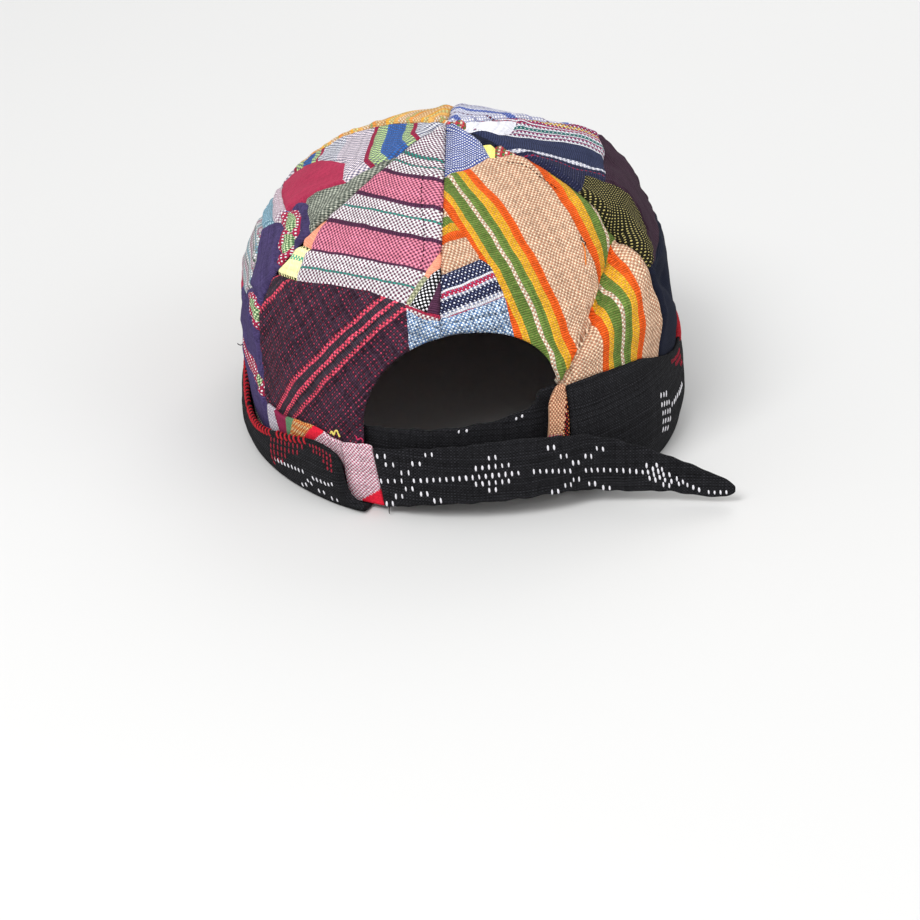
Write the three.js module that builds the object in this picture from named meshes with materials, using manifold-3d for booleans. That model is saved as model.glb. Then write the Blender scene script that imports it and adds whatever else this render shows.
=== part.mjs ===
// A soft brimless skullcap: six pieced crown panels, a turned-up cuff, an arched opening at the back
// and two straps across it. Millimetres, +Z up. The wearer faces +Y and the opening is at -Y.
import * as THREE from 'three';
import { mergeVertices } from 'three/addons/utils/BufferGeometryUtils.js';
import Module from 'manifold-3d';

const wasm = await Module();
wasm.setup();

// Crown
const HALF_WIDTH = 84;
const HALF_LENGTH = 101;
const CROWN_HEIGHT = 118;
const CROWN_CLOTH = 2.0;
const ROUNDNESS = 2.15;
const APEX_SHIFT = -5;
const FACET_TURN = -5;
const TIP_RADIUS = 1.8;
const SEAM_GAP = 0.3;
const LAYER_GAP = 0.45;

// Opening at the back
const OPENING_HALF_LEFT = 37.5;
const OPENING_HALF_RIGHT = 36;
const OPENING_SPRING = 35;
const OPENING_TOP = 70.5;
const OPENING_BEND_LEFT = 1.9;
const OPENING_BEND_RIGHT = 2.6;

// Cuff
const CUFF_CLOTH = 1.8;
const CUFF_HEIGHT = 43;
const CUFF_LIP = 6;
const CUFF_BOW = 0.8;

// Straps, facing and hem
const STRAP_WIDTH = 24.5;
const STRAP_CLOTH = 1.8;
const FREE_END_LENGTH = 55;
const FREE_END_HEADING = 4;
const FREE_END_CURL = 2.5;
const FACING_CLOTH = 1.6;
const FACING_HEIGHT = 29;
const FACING_TUCK = 3;
const HEM_CLOTH = 2.6;
const HEM_HEIGHT = 51;

// Crown sections from the rim to the top. climb is the share of the way up the cloth, height a share
// of CROWN_HEIGHT, left and right shares of HALF_WIDTH, back and front shares of HALF_LENGTH, and
// facet says how far the section goes from a smooth oval to straight runs between the seams.
const SECTIONS = [
  { climb: 0.0, height: 0.0, left: 0.985, right: 0.99, back: 0.975, front: 0.975, facet: 0.0 },
  { climb: 0.1, height: 0.12, left: 1.01, right: 1.005, back: 0.985, front: 0.99, facet: 0.0 },
  { climb: 0.2, height: 0.28, left: 1.035, right: 1.005, back: 0.99, front: 1.0, facet: 0.05 },
  { climb: 0.3, height: 0.42, left: 1.035, right: 0.995, back: 0.97, front: 0.98, facet: 0.12 },
  { climb: 0.4, height: 0.56, left: 0.985, right: 0.98, back: 0.92, front: 0.92, facet: 0.2 },
  { climb: 0.5, height: 0.68, left: 0.88, right: 0.925, back: 0.84, front: 0.8, facet: 0.3 },
  { climb: 0.6, height: 0.79, left: 0.715, right: 0.845, back: 0.71, front: 0.65, facet: 0.4 },
  { climb: 0.7, height: 0.88, left: 0.525, right: 0.715, back: 0.54, front: 0.49, facet: 0.5 },
  { climb: 0.8, height: 0.94, left: 0.345, right: 0.48, back: 0.36, front: 0.35, facet: 0.55 },
  { climb: 0.9, height: 0.975, left: 0.18, right: 0.23, back: 0.19, front: 0.2, facet: 0.5 },
  { climb: 1.0, height: 1.0, left: 0.0, right: 0.0, back: 0.0, front: 0.0, facet: 0.5 },
];

// Seams between the panels, as turns in degrees from the back, positive towards the right, at the
// rim, a third and two thirds of the way up the height, and at the top.
const SEAMS = [
  { name: 'back', rim: -4.5, low: -4, high: -4, top: -2 },
  { name: 'right_back', rim: 48, low: 56, high: 54.5, top: 52 },
  { name: 'right_front', rim: 118, low: 118, high: 118, top: 117 },
  { name: 'front', rim: 176, low: 176, high: 176, top: 176 },
  { name: 'left_front', rim: 236, low: 236, high: 236, top: 238 },
  { name: 'left_back', rim: 312, low: 301.5, high: 303, top: 316 },
];

// Panels, each running from its own seam to the next one.
const PANELS = [
  { name: 'panel_back_right', seam: 'back', next: 'right_back', color: 0xd99a68 },
  { name: 'panel_right', seam: 'right_back', next: 'right_front', color: 0x2b2430 },
  { name: 'panel_front_right', seam: 'right_front', next: 'front', color: 0x8d94b4 },
  { name: 'panel_front_left', seam: 'front', next: 'left_front', color: 0xd59a4a },
  { name: 'panel_left', seam: 'left_front', next: 'left_back', color: 0x5c3a5c },
  { name: 'panel_back_left', seam: 'left_back', next: 'back', color: 0x7a2c44 },
];

// Folds and bulges of the crown. Each runs through three places, given as a turn in degrees and a
// share of the height. width is a share of HALF_WIDTH, and depth of CROWN_HEIGHT, positive outwards.
const FOLDS = [
  { path: [[54, 0.77], [42, 0.675], [25, 0.52]], width: 0.075, depth: -0.036 },
  { path: [[60, 0.68], [45, 0.6], [27, 0.49]], width: 0.11, depth: 0.036 },
  { path: [[62, 0.62], [70, 0.54], [82, 0.46]], width: 0.07, depth: -0.026 },
  { path: [[48, 0.5], [60, 0.48], [71, 0.43]], width: 0.13, depth: 0.034 },
  { path: [[62, 0.79], [61, 0.74], [62, 0.69]], width: 0.16, depth: 0.02 },
  { path: [[-72, 0.36], [-62, 0.34], [-52, 0.32]], width: 0.1, depth: -0.012 },
  { path: [[-100, 0.5], [-92, 0.58], [-84, 0.66]], width: 0.12, depth: 0.014 },
];

// Cuff from its right back end, round the front, to its left back end. height and lift, of its upper
// and lower edge, are shares of CUFF_HEIGHT, and room says how many facings would fit between the
// crown and the cuff.
const CUFF = [
  { turn: 26, height: 1.15, lift: 0.19, room: 0.3 },
  { turn: 36, height: 1.2, lift: 0.12, room: 0.3 },
  { turn: 46, height: 1.16, lift: 0.04, room: 0.3 },
  { turn: 55, height: 1.12, lift: 0, room: 0.3 },
  { turn: 75, height: 1.03, lift: 0, room: 0.3 },
  { turn: 95, height: 0.98, lift: 0, room: 0.3 },
  { turn: 130, height: 0.9, lift: 0, room: 0.4 },
  { turn: 180, height: 0.75, lift: 0, room: 0.4 },
  { turn: 230, height: 0.58, lift: 0, room: 0.6 },
  { turn: 270, height: 0.42, lift: 0, room: 0.9 },
  { turn: 285, height: 0.33, lift: 0, room: 1.1 },
  { turn: 300, height: 0.33, lift: 0, room: 1.25 },
  { turn: 312, height: 0.4, lift: 0, room: 1.25 },
  { turn: 321, height: 0.48, lift: 0, room: 1.35 },
  { turn: 326, height: 0.45, lift: 0, room: 1.5 },
  { turn: 331, height: 0.32, lift: 0, room: 1.8 },
  { turn: 337, height: 0.16, lift: 0, room: 2.1 },
];

// Facing above the left end of the cuff. low and high are shares of FACING_HEIGHT, and low counts
// only where the cuff is too short to cover the lower edge.
const FACING = [
  { turn: 307, low: 0.05, high: 0.83 },
  { turn: 314, low: 0.05, high: 0.86 },
  { turn: 321, low: 0.05, high: 0.96 },
  { turn: 328, low: 0.05, high: 1.0 },
  { turn: 335, low: 0.05, high: 0.98 },
  { turn: 342.4, low: 0.05, high: 0.97 },
];

// Folded edge beside the right end of the cuff. high is a share of HEM_HEIGHT.
const HEM = [
  { turn: 17.6, high: 0.8 },
  { turn: 18.6, high: 0.88 },
  { turn: 20.6, high: 0.94 },
  { turn: 23.2, high: 1.0 },
  { turn: 25.8, high: 0.97 },
];

// Outer strap where it follows the cap. out counts the strap's own thicknesses from the crown to
// its middle, and low and high are shares of STRAP_WIDTH.
const STRAP_ON_CAP = [
  { turn: -17.4, out: 0.75, low: 0.1, high: 1.08 },
  { turn: -8, out: 1.5, low: 0.24, high: 1.2 },
  { turn: 0, out: 2.1, low: 0.3, high: 1.28 },
  { turn: 9, out: 2.5, low: 0.33, high: 1.35 },
  { turn: 18, out: 2.8, low: 0.34, high: 1.31 },
  { turn: 26, out: 3.0, low: 0.26, high: 1.2 },
];

// Free end of the outer strap. run is a share of FREE_END_LENGTH.
const STRAP_FREE = [
  { run: 0.28, low: 0.21, high: 1.03 },
  { run: 0.54, low: 0.2, high: 0.81 },
  { run: 0.78, low: 0.12, high: 0.58 },
  { run: 0.93, low: 0.12, high: 0.42 },
  { run: 1.0, low: 0.19, high: 0.31 },
];

// Inner strap, with the tall tab at its right end.
const STRAP_INSIDE = [
  { turn: -31, low: 0.36, high: 1.3 },
  { turn: -21, low: 0.36, high: 1.3 },
  { turn: -14, low: 0.36, high: 1.22 },
  { turn: -3, low: 0.36, high: 1.2 },
  { turn: 8, low: 0.36, high: 1.3 },
  { turn: 16.8, low: 0.36, high: 1.52 },
  { turn: 17.8, low: 0.36, high: 1.86 },
  { turn: 24, low: 0.36, high: 1.92 },
  { turn: 31, low: 0.36, high: 1.9 },
];

const radians = THREE.MathUtils.degToRad;

// Smooth value of one column of a table at a place on its key column.
function columnAt(table, key, column, at) {
  const last = table.length - 1;
  let i = 0;
  while (i < last - 1 && at > table[i + 1][key]) i += 1;
  const step = table[i + 1][key] - table[i][key];
  const t = THREE.MathUtils.clamp((at - table[i][key]) / step, 0, 1);
  const slope = (k) => {
    const before = table[Math.max(k - 1, 0)];
    const after = table[Math.min(k + 1, last)];
    return (after[column] - before[column]) / (after[key] - before[key]);
  };
  const from = table[i][column];
  const to = table[i + 1][column];
  const square = t * t;
  const cube = square * t;
  return (2 * cube - 3 * square + 1) * from + (cube - 2 * square + t) * step * slope(i)
    + (3 * square - 2 * cube) * to + (cube - square) * step * slope(i + 1);
}

// The crown's outer face before its folds, at a turn in degrees and a climb from 0 to 1.
function smoothCrown(turn, climb) {
  const at = (column) => columnAt(SECTIONS, 'climb', column, climb);
  const angle = radians(turn);
  const sine = Math.sin(angle);
  const cosine = Math.cos(angle);
  const height = at('height');
  const side = Math.max(at(sine < 0 ? 'left' : 'right'), 0) * HALF_WIDTH;
  const end = Math.max(at(cosine > 0 ? 'back' : 'front'), 0) * HALF_LENGTH;
  let radius = 0;
  if (side > 0 && end > 0) {
    radius = (Math.abs(sine / side) ** ROUNDNESS + Math.abs(cosine / end) ** ROUNDNESS) ** (-1 / ROUNDNESS);
  }
  const halfPanel = 180 / PANELS.length;
  const inPanel = THREE.MathUtils.euclideanModulo(turn - FACET_TURN, 2 * halfPanel) - halfPanel;
  const straight = Math.cos(radians(halfPanel)) / Math.cos(radians(inPanel));
  radius *= 1 - at('facet') * (1 - straight);
  const lean = THREE.MathUtils.clamp((height - 0.3) / 0.7, 0, 1) ** 1.2;
  return new THREE.Vector3(radius * sine + APEX_SHIFT * lean, -radius * cosine, height * CROWN_HEIGHT);
}

// Unit normal of a surface, pointing outwards.
function outward(surface, turn, climb) {
  const low = Math.max(climb - 0.004, 0);
  const high = Math.min(climb + 0.004, 0.996);
  const along = surface(turn + 0.4, Math.min(climb, 0.996)).sub(surface(turn - 0.4, Math.min(climb, 0.996)));
  const up = surface(turn, high).sub(surface(turn, low));
  return along.cross(up).normalize();
}

// The climb at which the smooth crown reaches a height in millimetres.
function climbAt(height) {
  let low = 0;
  let high = 1;
  for (let i = 0; i < 30; i += 1) {
    const middle = (low + high) / 2;
    if (columnAt(SECTIONS, 'climb', 'height', middle) * CROWN_HEIGHT < height) low = middle;
    else high = middle;
  }
  return low;
}

// Each fold as a smooth line of points on the smooth crown.
const FOLD_LINES = FOLDS.map((fold) => {
  const places = fold.path.map(([turn, share]) => smoothCrown(turn, climbAt(share * CROWN_HEIGHT)));
  return new THREE.CatmullRomCurve3(places).getPoints(12);
});

// How far the folds lift the cloth at a point of the smooth crown.
function foldLift(point) {
  return FOLDS.reduce((sum, fold, i) => {
    const reach = Math.min(...FOLD_LINES[i].map((place) => place.distanceTo(point)));
    const spread = fold.width * HALF_WIDTH;
    return sum + fold.depth * CROWN_HEIGHT * Math.exp(-((reach / spread) ** 2));
  }, 0);
}

// The crown's outer face with its folds.
function crown(turn, climb) {
  const point = smoothCrown(turn, climb);
  return point.addScaledVector(outward(smoothCrown, turn, climb), foldLift(point));
}

// A point beside the crown's wall: out millimetres outside its outer face, at a height.
function besideWall(turn, out, height) {
  const climb = climbAt(height);
  const along = crown(turn + 0.5, climb).sub(crown(turn - 0.5, climb)).setZ(0).normalize();
  const point = crown(turn, climb).addScaledVector(new THREE.Vector3(along.y, -along.x, 0), out);
  return point.setZ(height);
}

// A closed geometry from a list of points and a list of triangles, with its faces pointing out.
function closedGeometry(points, faces) {
  const volume = faces.reduce((sum, [a, b, c]) => (
    sum + points[a].dot(new THREE.Vector3().crossVectors(points[b], points[c]))), 0);
  const facing = volume < 0 ? faces.map(([a, b, c]) => [a, c, b]) : faces;
  const geometry = new THREE.BufferGeometry();
  geometry.setAttribute('position', new THREE.Float32BufferAttribute(points.flatMap((p) => p.toArray()), 3));
  geometry.setIndex(facing.flat());
  return geometry;
}

// A closed body lofted through rings of points. Both ends are closed by the flat outline given.
function loft(rings, outlines) {
  const count = rings[0].length;
  const faces = [];
  for (let i = 0; i < rings.length - 1; i += 1) {
    for (let j = 0; j < count; j += 1) {
      const k = (j + 1) % count;
      faces.push([i * count + j, i * count + k, (i + 1) * count + k]);
      faces.push([i * count + j, (i + 1) * count + k, (i + 1) * count + j]);
    }
  }
  const endBase = (rings.length - 1) * count;
  const start = THREE.ShapeUtils.triangulateShape(outlines[0], []);
  const end = THREE.ShapeUtils.triangulateShape(outlines[outlines.length - 1], []);
  const turned = THREE.ShapeUtils.isClockWise(outlines[0]);
  start.forEach(([a, b, c]) => faces.push(turned ? [a, b, c] : [a, c, b]));
  end.forEach(([a, b, c]) => {
    faces.push(turned ? [endBase + a, endBase + c, endBase + b] : [endBase + a, endBase + b, endBase + c]);
  });
  return closedGeometry(rings.flat(), faces);
}

// Turn of a seam at a climb, bent smoothly through its four places.
function seamTurn(name, climb) {
  const seam = SEAMS.find((one) => one.name === name);
  const share = columnAt(SECTIONS, 'climb', 'height', climb);
  const places = [
    { share: 0, turn: seam.rim },
    { share: 0.33, turn: seam.low },
    { share: 0.66, turn: seam.high },
    { share: 1, turn: seam.top },
  ];
  return columnAt(places, 'share', 'turn', share);
}

// Degrees from one seam to the next at a climb.
function panelSpan(seam, next, climb) {
  return THREE.MathUtils.euclideanModulo(seamTurn(next, climb) - seamTurn(seam, climb), 360);
}

// Half the gap at a seam, as a turn.
function gapTurn(turn, climb) {
  const perDegree = smoothCrown(turn + 0.5, climb).distanceTo(smoothCrown(turn - 0.5, climb));
  return SEAM_GAP / 2 / perDegree;
}

// How far the inner face of the cuff stands off the crown, and its upper and lower edges.
const cuffRoom = (turn) => (
  LAYER_GAP + columnAt(CUFF, 'turn', 'room', turn) * (FACING_CLOTH + LAYER_GAP));
const cuffTop = (turn) => CUFF_HEIGHT * columnAt(CUFF, 'turn', 'height', turn);
const cuffLift = (turn) => {
  const around = THREE.MathUtils.euclideanModulo(turn, 360);
  const right = CUFF[0];
  const left = CUFF[CUFF.length - 1];
  if (around >= right.turn && around <= left.turn) {
    return CUFF_HEIGHT * Math.max(columnAt(CUFF, 'turn', 'lift', around), 0);
  }
  const across = THREE.MathUtils.euclideanModulo(turn - left.turn, 360) / (360 + right.turn - left.turn);
  return CUFF_HEIGHT * THREE.MathUtils.lerp(left.lift, right.lift, across);
};

// One panel of the crown: an outer and an inner face joined round the edges.
function panelGeometry({ seam, next }) {
  const across = 11;
  const upwards = 19;
  const tipReach = TIP_RADIUS / smoothCrown(0, 0.99).setZ(0).sub(new THREE.Vector3(APEX_SHIFT, 0, 0)).length();
  const top = 1 - 0.01 * tipReach;
  const outer = [];
  const inner = [];
  for (let j = 0; j <= upwards; j += 1) {
    for (let i = 0; i <= across; i += 1) {
      const foot = seamTurn(seam, 0) + panelSpan(seam, next, 0) * (i / across);
      const bottom = climbAt(cuffLift(foot) + CUFF_CLOTH + LAYER_GAP);
      const climb = bottom + (top - bottom) * (j / upwards);
      const turn = seamTurn(seam, climb) + panelSpan(seam, next, climb) * (i / across);
      const side = i === 0 ? 1 : -1;
      const onSeam = i === 0 || i === across;
      const point = crown(turn + (onSeam ? side * gapTurn(turn, climb) : 0), climb);
      outer.push(point);
      inner.push(point.clone().addScaledVector(outward(crown, turn, climb), -CROWN_CLOTH));
    }
  }
  const row = across + 1;
  const shift = outer.length;
  const faces = [];
  for (let j = 0; j < upwards; j += 1) {
    for (let i = 0; i < across; i += 1) {
      const a = j * row + i;
      faces.push([a, a + 1, a + row + 1], [a, a + row + 1, a + row]);
      faces.push([a + shift, a + row + 1 + shift, a + 1 + shift], [a + shift, a + row + shift, a + row + 1 + shift]);
    }
  }
  const edge = [];
  for (let i = 0; i < across; i += 1) edge.push(i);
  for (let j = 0; j < upwards; j += 1) edge.push(j * row + across);
  for (let i = across; i > 0; i -= 1) edge.push(upwards * row + i);
  for (let j = upwards; j > 0; j -= 1) edge.push(j * row);
  edge.forEach((a, i) => {
    const b = edge[(i + 1) % edge.length];
    if (a > b) faces.push([a, a + shift, b], [b, a + shift, b + shift]);
    else faces.push([a, a + shift, b + shift], [a, b + shift, b]);
  });
  return closedGeometry([...outer, ...inner], faces);
}

// The block of air behind the arched opening.
function openingGeometry() {
  const steps = 14;
  const below = -CUFF_HEIGHT;
  const rise = OPENING_TOP - OPENING_SPRING;
  const outline = [new THREE.Vector2(OPENING_HALF_RIGHT, below)];
  const quarter = (half, bend, angle) => new THREE.Vector2(
    half * Math.cos(angle) ** (2 / bend),
    OPENING_SPRING + rise * Math.sin(angle) ** (2 / bend),
  );
  for (let i = 0; i <= steps; i += 1) {
    outline.push(quarter(OPENING_HALF_RIGHT, OPENING_BEND_RIGHT, (Math.PI / 2) * (i / steps)));
  }
  for (let i = steps - 1; i >= 0; i -= 1) {
    const place = quarter(OPENING_HALF_LEFT, OPENING_BEND_LEFT, (Math.PI / 2) * (i / steps));
    outline.push(place.setX(-place.x));
  }
  outline.push(new THREE.Vector2(-OPENING_HALF_LEFT, below));
  const block = new THREE.ExtrudeGeometry(new THREE.Shape(outline), {
    depth: 2 * HALF_LENGTH,
    bevelEnabled: false,
    steps: 1,
  });
  return block.rotateX(Math.PI / 2);
}

function toSolid(geometry) {
  const bare = geometry.clone();
  bare.deleteAttribute('normal');
  bare.deleteAttribute('uv');
  const merged = mergeVertices(bare, 1e-4);
  return new wasm.Manifold(new wasm.Mesh({
    numProp: 3,
    vertProperties: new Float32Array(merged.attributes.position.array),
    triVerts: new Uint32Array(merged.index.array),
  }));
}

function fromSolid(solid) {
  const mesh = solid.getMesh();
  const geometry = new THREE.BufferGeometry();
  geometry.setAttribute('position', new THREE.BufferAttribute(new Float32Array(mesh.vertProperties), 3));
  geometry.setIndex(new THREE.BufferAttribute(new Uint32Array(mesh.triVerts), 1));
  return geometry;
}

// Values of a band's table at evenly spread places along its key column.
function stationsOf(table, key, count) {
  const first = table[0][key];
  const span = table[table.length - 1][key] - first;
  return Array.from({ length: count + 1 }, (_, i) => first + span * (i / count));
}

// The flat outline of a strip of cloth with eased edges, as pairs of out and height. rungs is the
// number of rows of points up each face.
function stripOutline(inside, outside, low, high, rungs) {
  const ease = Math.min((outside - inside) / 3, (high - low) / 4);
  const heights = Array.from({ length: rungs }, (_, i) => (
    THREE.MathUtils.lerp(low + ease, high - ease, i / (rungs - 1))));
  return [
    [inside + ease, low],
    [outside - ease, low],
    ...heights.map((height) => [outside, height]),
    [outside - ease, high],
    [inside + ease, high],
    ...heights.reverse().map((height) => [inside, height]),
  ].map(([out, height]) => new THREE.Vector2(out, height));
}

// The cuff: a strip folded under the rim, low inside the crown and tall outside it.
function cuffGeometry() {
  const outlines = [];
  const rings = stationsOf(CUFF, 'turn', 70).map((turn) => {
    const room = cuffRoom(turn);
    const top = cuffTop(turn);
    const base = cuffLift(turn);
    const rise = top - base;
    const inside = -(CROWN_CLOTH + LAYER_GAP);
    const lip = base + Math.min(CUFF_LIP, rise);
    const bow = (share) => room + CUFF_BOW * Math.sin(Math.PI * share);
    const ease = CUFF_CLOTH / 3;
    const outline = [[inside - CUFF_CLOTH, base], [room + CUFF_CLOTH - ease, base]];
    [0.12, 0.4, 0.7, 1].forEach((share) => {
      outline.push([bow(share) + CUFF_CLOTH, base + rise * share - (share === 1 ? ease : 0)]);
    });
    outline.push([room + CUFF_CLOTH / 2, top]);
    [1, 0.7, 0.4].forEach((share) => {
      const height = base + rise * share - (share === 1 ? ease : 0);
      outline.push([bow(share), Math.max(height, base + CUFF_CLOTH + 0.2 * (1 + share))]);
    });
    outline.push([room, base + CUFF_CLOTH], [inside, base + CUFF_CLOTH], [inside, lip - ease]);
    outline.push([inside - CUFF_CLOTH / 2, lip], [inside - CUFF_CLOTH, lip - ease]);
    outlines.push(outline.map(([out, height]) => new THREE.Vector2(out, height)));
    return outline.map(([out, height]) => besideWall(turn, out, height));
  });
  return loft(rings, outlines);
}

// A strip that lies against the crown, from a table of its upper and lower edges.
function strip(turns, inside, outside, lowAt, highAt) {
  const rungs = 6;
  const outlines = turns.map((turn) => stripOutline(inside, outside, lowAt(turn), highAt(turn), rungs));
  const rings = outlines.map((outline, i) => outline.map(({ x, y }) => besideWall(turns[i], x, y)));
  return loft(rings, outlines);
}

function facingGeometry() {
  const high = (turn) => FACING_HEIGHT * columnAt(FACING, 'turn', 'high', turn);
  const low = (turn) => {
    const open = FACING_HEIGHT * columnAt(FACING, 'turn', 'low', turn);
    const covered = turn <= CUFF[CUFF.length - 1].turn ? cuffTop(turn) - FACING_TUCK : open;
    return Math.max(open, covered, CUFF_CLOTH + LAYER_GAP);
  };
  return strip(stationsOf(FACING, 'turn', 18), LAYER_GAP, LAYER_GAP + FACING_CLOTH, low, high);
}

function hemGeometry() {
  const high = (turn) => HEM_HEIGHT * columnAt(HEM, 'turn', 'high', turn);
  const low = (turn) => cuffLift(turn) + CUFF_CLOTH + LAYER_GAP;
  return strip(stationsOf(HEM, 'turn', 8), LAYER_GAP, LAYER_GAP + HEM_CLOTH, low, high);
}

function innerStrapGeometry() {
  const edge = (column, turn) => STRAP_WIDTH * columnAt(STRAP_INSIDE, 'turn', column, turn);
  const outside = -(CROWN_CLOTH + 2 * LAYER_GAP);
  const beside = HEM[0].turn;
  const low = (turn) => {
    const overLip = Math.abs(turn) > beside ? cuffLift(turn) + CUFF_LIP + LAYER_GAP : 0;
    return Math.max(edge('low', turn), overLip);
  };
  const high = (turn) => edge('high', turn);
  return strip(stationsOf(STRAP_INSIDE, 'turn', 31), outside - STRAP_CLOTH, outside, low, high);
}

// The outer strap follows the cap, then leaves it in a nearly straight free end.
function outerStrapGeometry() {
  const seat = STRAP_WIDTH;
  const places = STRAP_ON_CAP.map(({ turn, out, low, high }) => (
    { point: besideWall(turn, out * STRAP_CLOTH, seat).setZ(0), low, high }));
  const leave = places[places.length - 1].point;
  const heading = radians(FREE_END_HEADING);
  STRAP_FREE.forEach(({ run, low, high }) => {
    const forward = run * FREE_END_LENGTH;
    const curl = FREE_END_CURL * run * run;
    const point = leave.clone();
    point.x += forward * Math.cos(heading);
    point.y += forward * Math.sin(heading) - 2 * curl;
    places.push({ point, low, high });
  });
  const path = new THREE.CatmullRomCurve3(places.map(({ point }) => point), false, 'centripetal');
  const edges = places.map(({ low, high }, i) => ({ at: i / (places.length - 1), low, high }));
  const count = 44;
  const outlines = [];
  const rings = Array.from({ length: count + 1 }, (_, i) => {
    const at = i / count;
    const point = path.getPoint(at);
    const along = path.getTangent(at);
    const low = STRAP_WIDTH * columnAt(edges, 'at', 'low', at);
    const high = STRAP_WIDTH * columnAt(edges, 'at', 'high', at);
    const outline = stripOutline(-STRAP_CLOTH / 2, STRAP_CLOTH / 2, low, high, 2);
    outlines.push(outline);
    return outline.map(({ x, y }) => new THREE.Vector3(point.x + along.y * x, point.y - along.x * x, y));
  });
  return loft(rings, outlines);
}

function clothMesh(name, geometry, color) {
  const material = new THREE.MeshStandardMaterial({ color, roughness: 0.95, metalness: 0 });
  const mesh = new THREE.Mesh(geometry, material);
  mesh.name = name;
  return mesh;
}

const cap = new THREE.Group();
const opening = toSolid(openingGeometry());

PANELS.forEach((panel) => {
  const whole = panelGeometry(panel);
  const atBack = panel.seam === 'back' || panel.next === 'back';
  const geometry = atBack ? fromSolid(toSolid(whole).subtract(opening)) : whole;
  cap.add(clothMesh(panel.name, geometry, panel.color));
});
cap.add(clothMesh('cuff', cuffGeometry(), 0x17171a));
cap.add(clothMesh('facing_left', facingGeometry(), 0xd9818f));
cap.add(clothMesh('hem_fold_right', hemGeometry(), 0xcf9270));
cap.add(clothMesh('strap_inner', innerStrapGeometry(), 0x151518));
cap.add(clothMesh('strap_outer', outerStrapGeometry(), 0x1a1a1e));

// The origin is the middle of the underside.
const whole = new THREE.Box3().setFromObject(cap);
const centre = whole.getCenter(new THREE.Vector3());
cap.position.set(-centre.x, -centre.y, -whole.min.z);

export default cap;
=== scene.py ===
import math
import random

import bmesh
import bpy
import numpy as np
from mathutils import Matrix, Vector
from mathutils.geometry import delaunay_2d_cdt


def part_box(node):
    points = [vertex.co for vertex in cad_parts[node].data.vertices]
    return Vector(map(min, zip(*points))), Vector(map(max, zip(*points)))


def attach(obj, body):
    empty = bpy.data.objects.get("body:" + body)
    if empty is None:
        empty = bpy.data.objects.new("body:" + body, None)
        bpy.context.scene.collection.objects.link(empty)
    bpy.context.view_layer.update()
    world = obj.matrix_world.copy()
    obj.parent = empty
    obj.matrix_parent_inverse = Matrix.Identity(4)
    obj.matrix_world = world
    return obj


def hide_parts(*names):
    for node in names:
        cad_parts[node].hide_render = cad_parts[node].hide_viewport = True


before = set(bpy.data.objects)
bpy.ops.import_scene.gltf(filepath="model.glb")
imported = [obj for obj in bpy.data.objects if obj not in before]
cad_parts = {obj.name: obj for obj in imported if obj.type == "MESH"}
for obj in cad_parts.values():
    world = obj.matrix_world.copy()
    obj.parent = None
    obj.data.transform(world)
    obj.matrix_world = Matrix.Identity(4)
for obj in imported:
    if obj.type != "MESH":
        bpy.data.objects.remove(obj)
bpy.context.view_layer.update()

MM = 0.001
rng = random.Random(11)

# Sizes in millimetres and angles in degrees, as in the part's source
HALF_WIDTH = 84.0
HALF_LENGTH = 101.0
CROWN_HEIGHT = 118.0
CROWN_CLOTH = 2.0
ROUNDNESS = 2.15
APEX_SHIFT = -5.0
FACET_TURN = -5.0
PANEL_COUNT = 6
LAYER_GAP = 0.45
LEAN_FROM = 0.3
LEAN_POWER = 1.2
OPENING_HALF_LEFT = 37.5
OPENING_HALF_RIGHT = 36.0
OPENING_SPRING = 35.0
OPENING_TOP = 70.5
OPENING_BEND_LEFT = 1.9
OPENING_BEND_RIGHT = 2.6
CUFF_CLOTH = 1.8
CUFF_HEIGHT = 43.0
CUFF_LIP = 6.0
CUFF_BOW = 0.8
STRAP_WIDTH = 24.5
STRAP_CLOTH = 1.8
FREE_END_LENGTH = 55.0
FREE_END_HEADING = 4.0
FREE_END_CURL = 2.5
FACING_CLOTH = 1.6
FACING_HEIGHT = 29.0
FACING_TUCK = 3.0
HEM_CLOTH = 2.6
HEM_HEIGHT = 51.0

# The crown's outline at each climb, as shares of CROWN_HEIGHT, HALF_WIDTH and HALF_LENGTH
SECTION_COLUMNS = ("climb", "height", "left", "right", "back", "front", "facet")
SECTIONS = np.array([
    (0.0, 0.0, 0.985, 0.99, 0.975, 0.975, 0.0),
    (0.1, 0.12, 1.01, 1.005, 0.985, 0.99, 0.0),
    (0.2, 0.28, 1.035, 1.005, 0.99, 1.0, 0.05),
    (0.3, 0.42, 1.035, 0.995, 0.97, 0.98, 0.12),
    (0.4, 0.56, 0.985, 0.98, 0.92, 0.92, 0.2),
    (0.5, 0.68, 0.88, 0.925, 0.84, 0.8, 0.3),
    (0.6, 0.79, 0.715, 0.845, 0.71, 0.65, 0.4),
    (0.7, 0.88, 0.525, 0.715, 0.54, 0.49, 0.5),
    (0.8, 0.94, 0.345, 0.48, 0.36, 0.35, 0.55),
    (0.9, 0.975, 0.18, 0.23, 0.19, 0.2, 0.5),
    (1.0, 1.0, 0.0, 0.0, 0.0, 0.0, 0.5),
])
# The turns of each seam at the shares of the height
SEAM_SHARES = (0, 0.33, 0.66, 1.0)
SEAMS = {
    "back": (-4.5, -4, -4, -2),
    "right_back": (48, 56, 54.5, 52),
    "right_front": (118, 118, 118, 117),
    "front": (176, 176, 176, 176),
    "left_front": (236, 236, 236, 238),
    "left_back": (312, 301.5, 303, 316),
}
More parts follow.
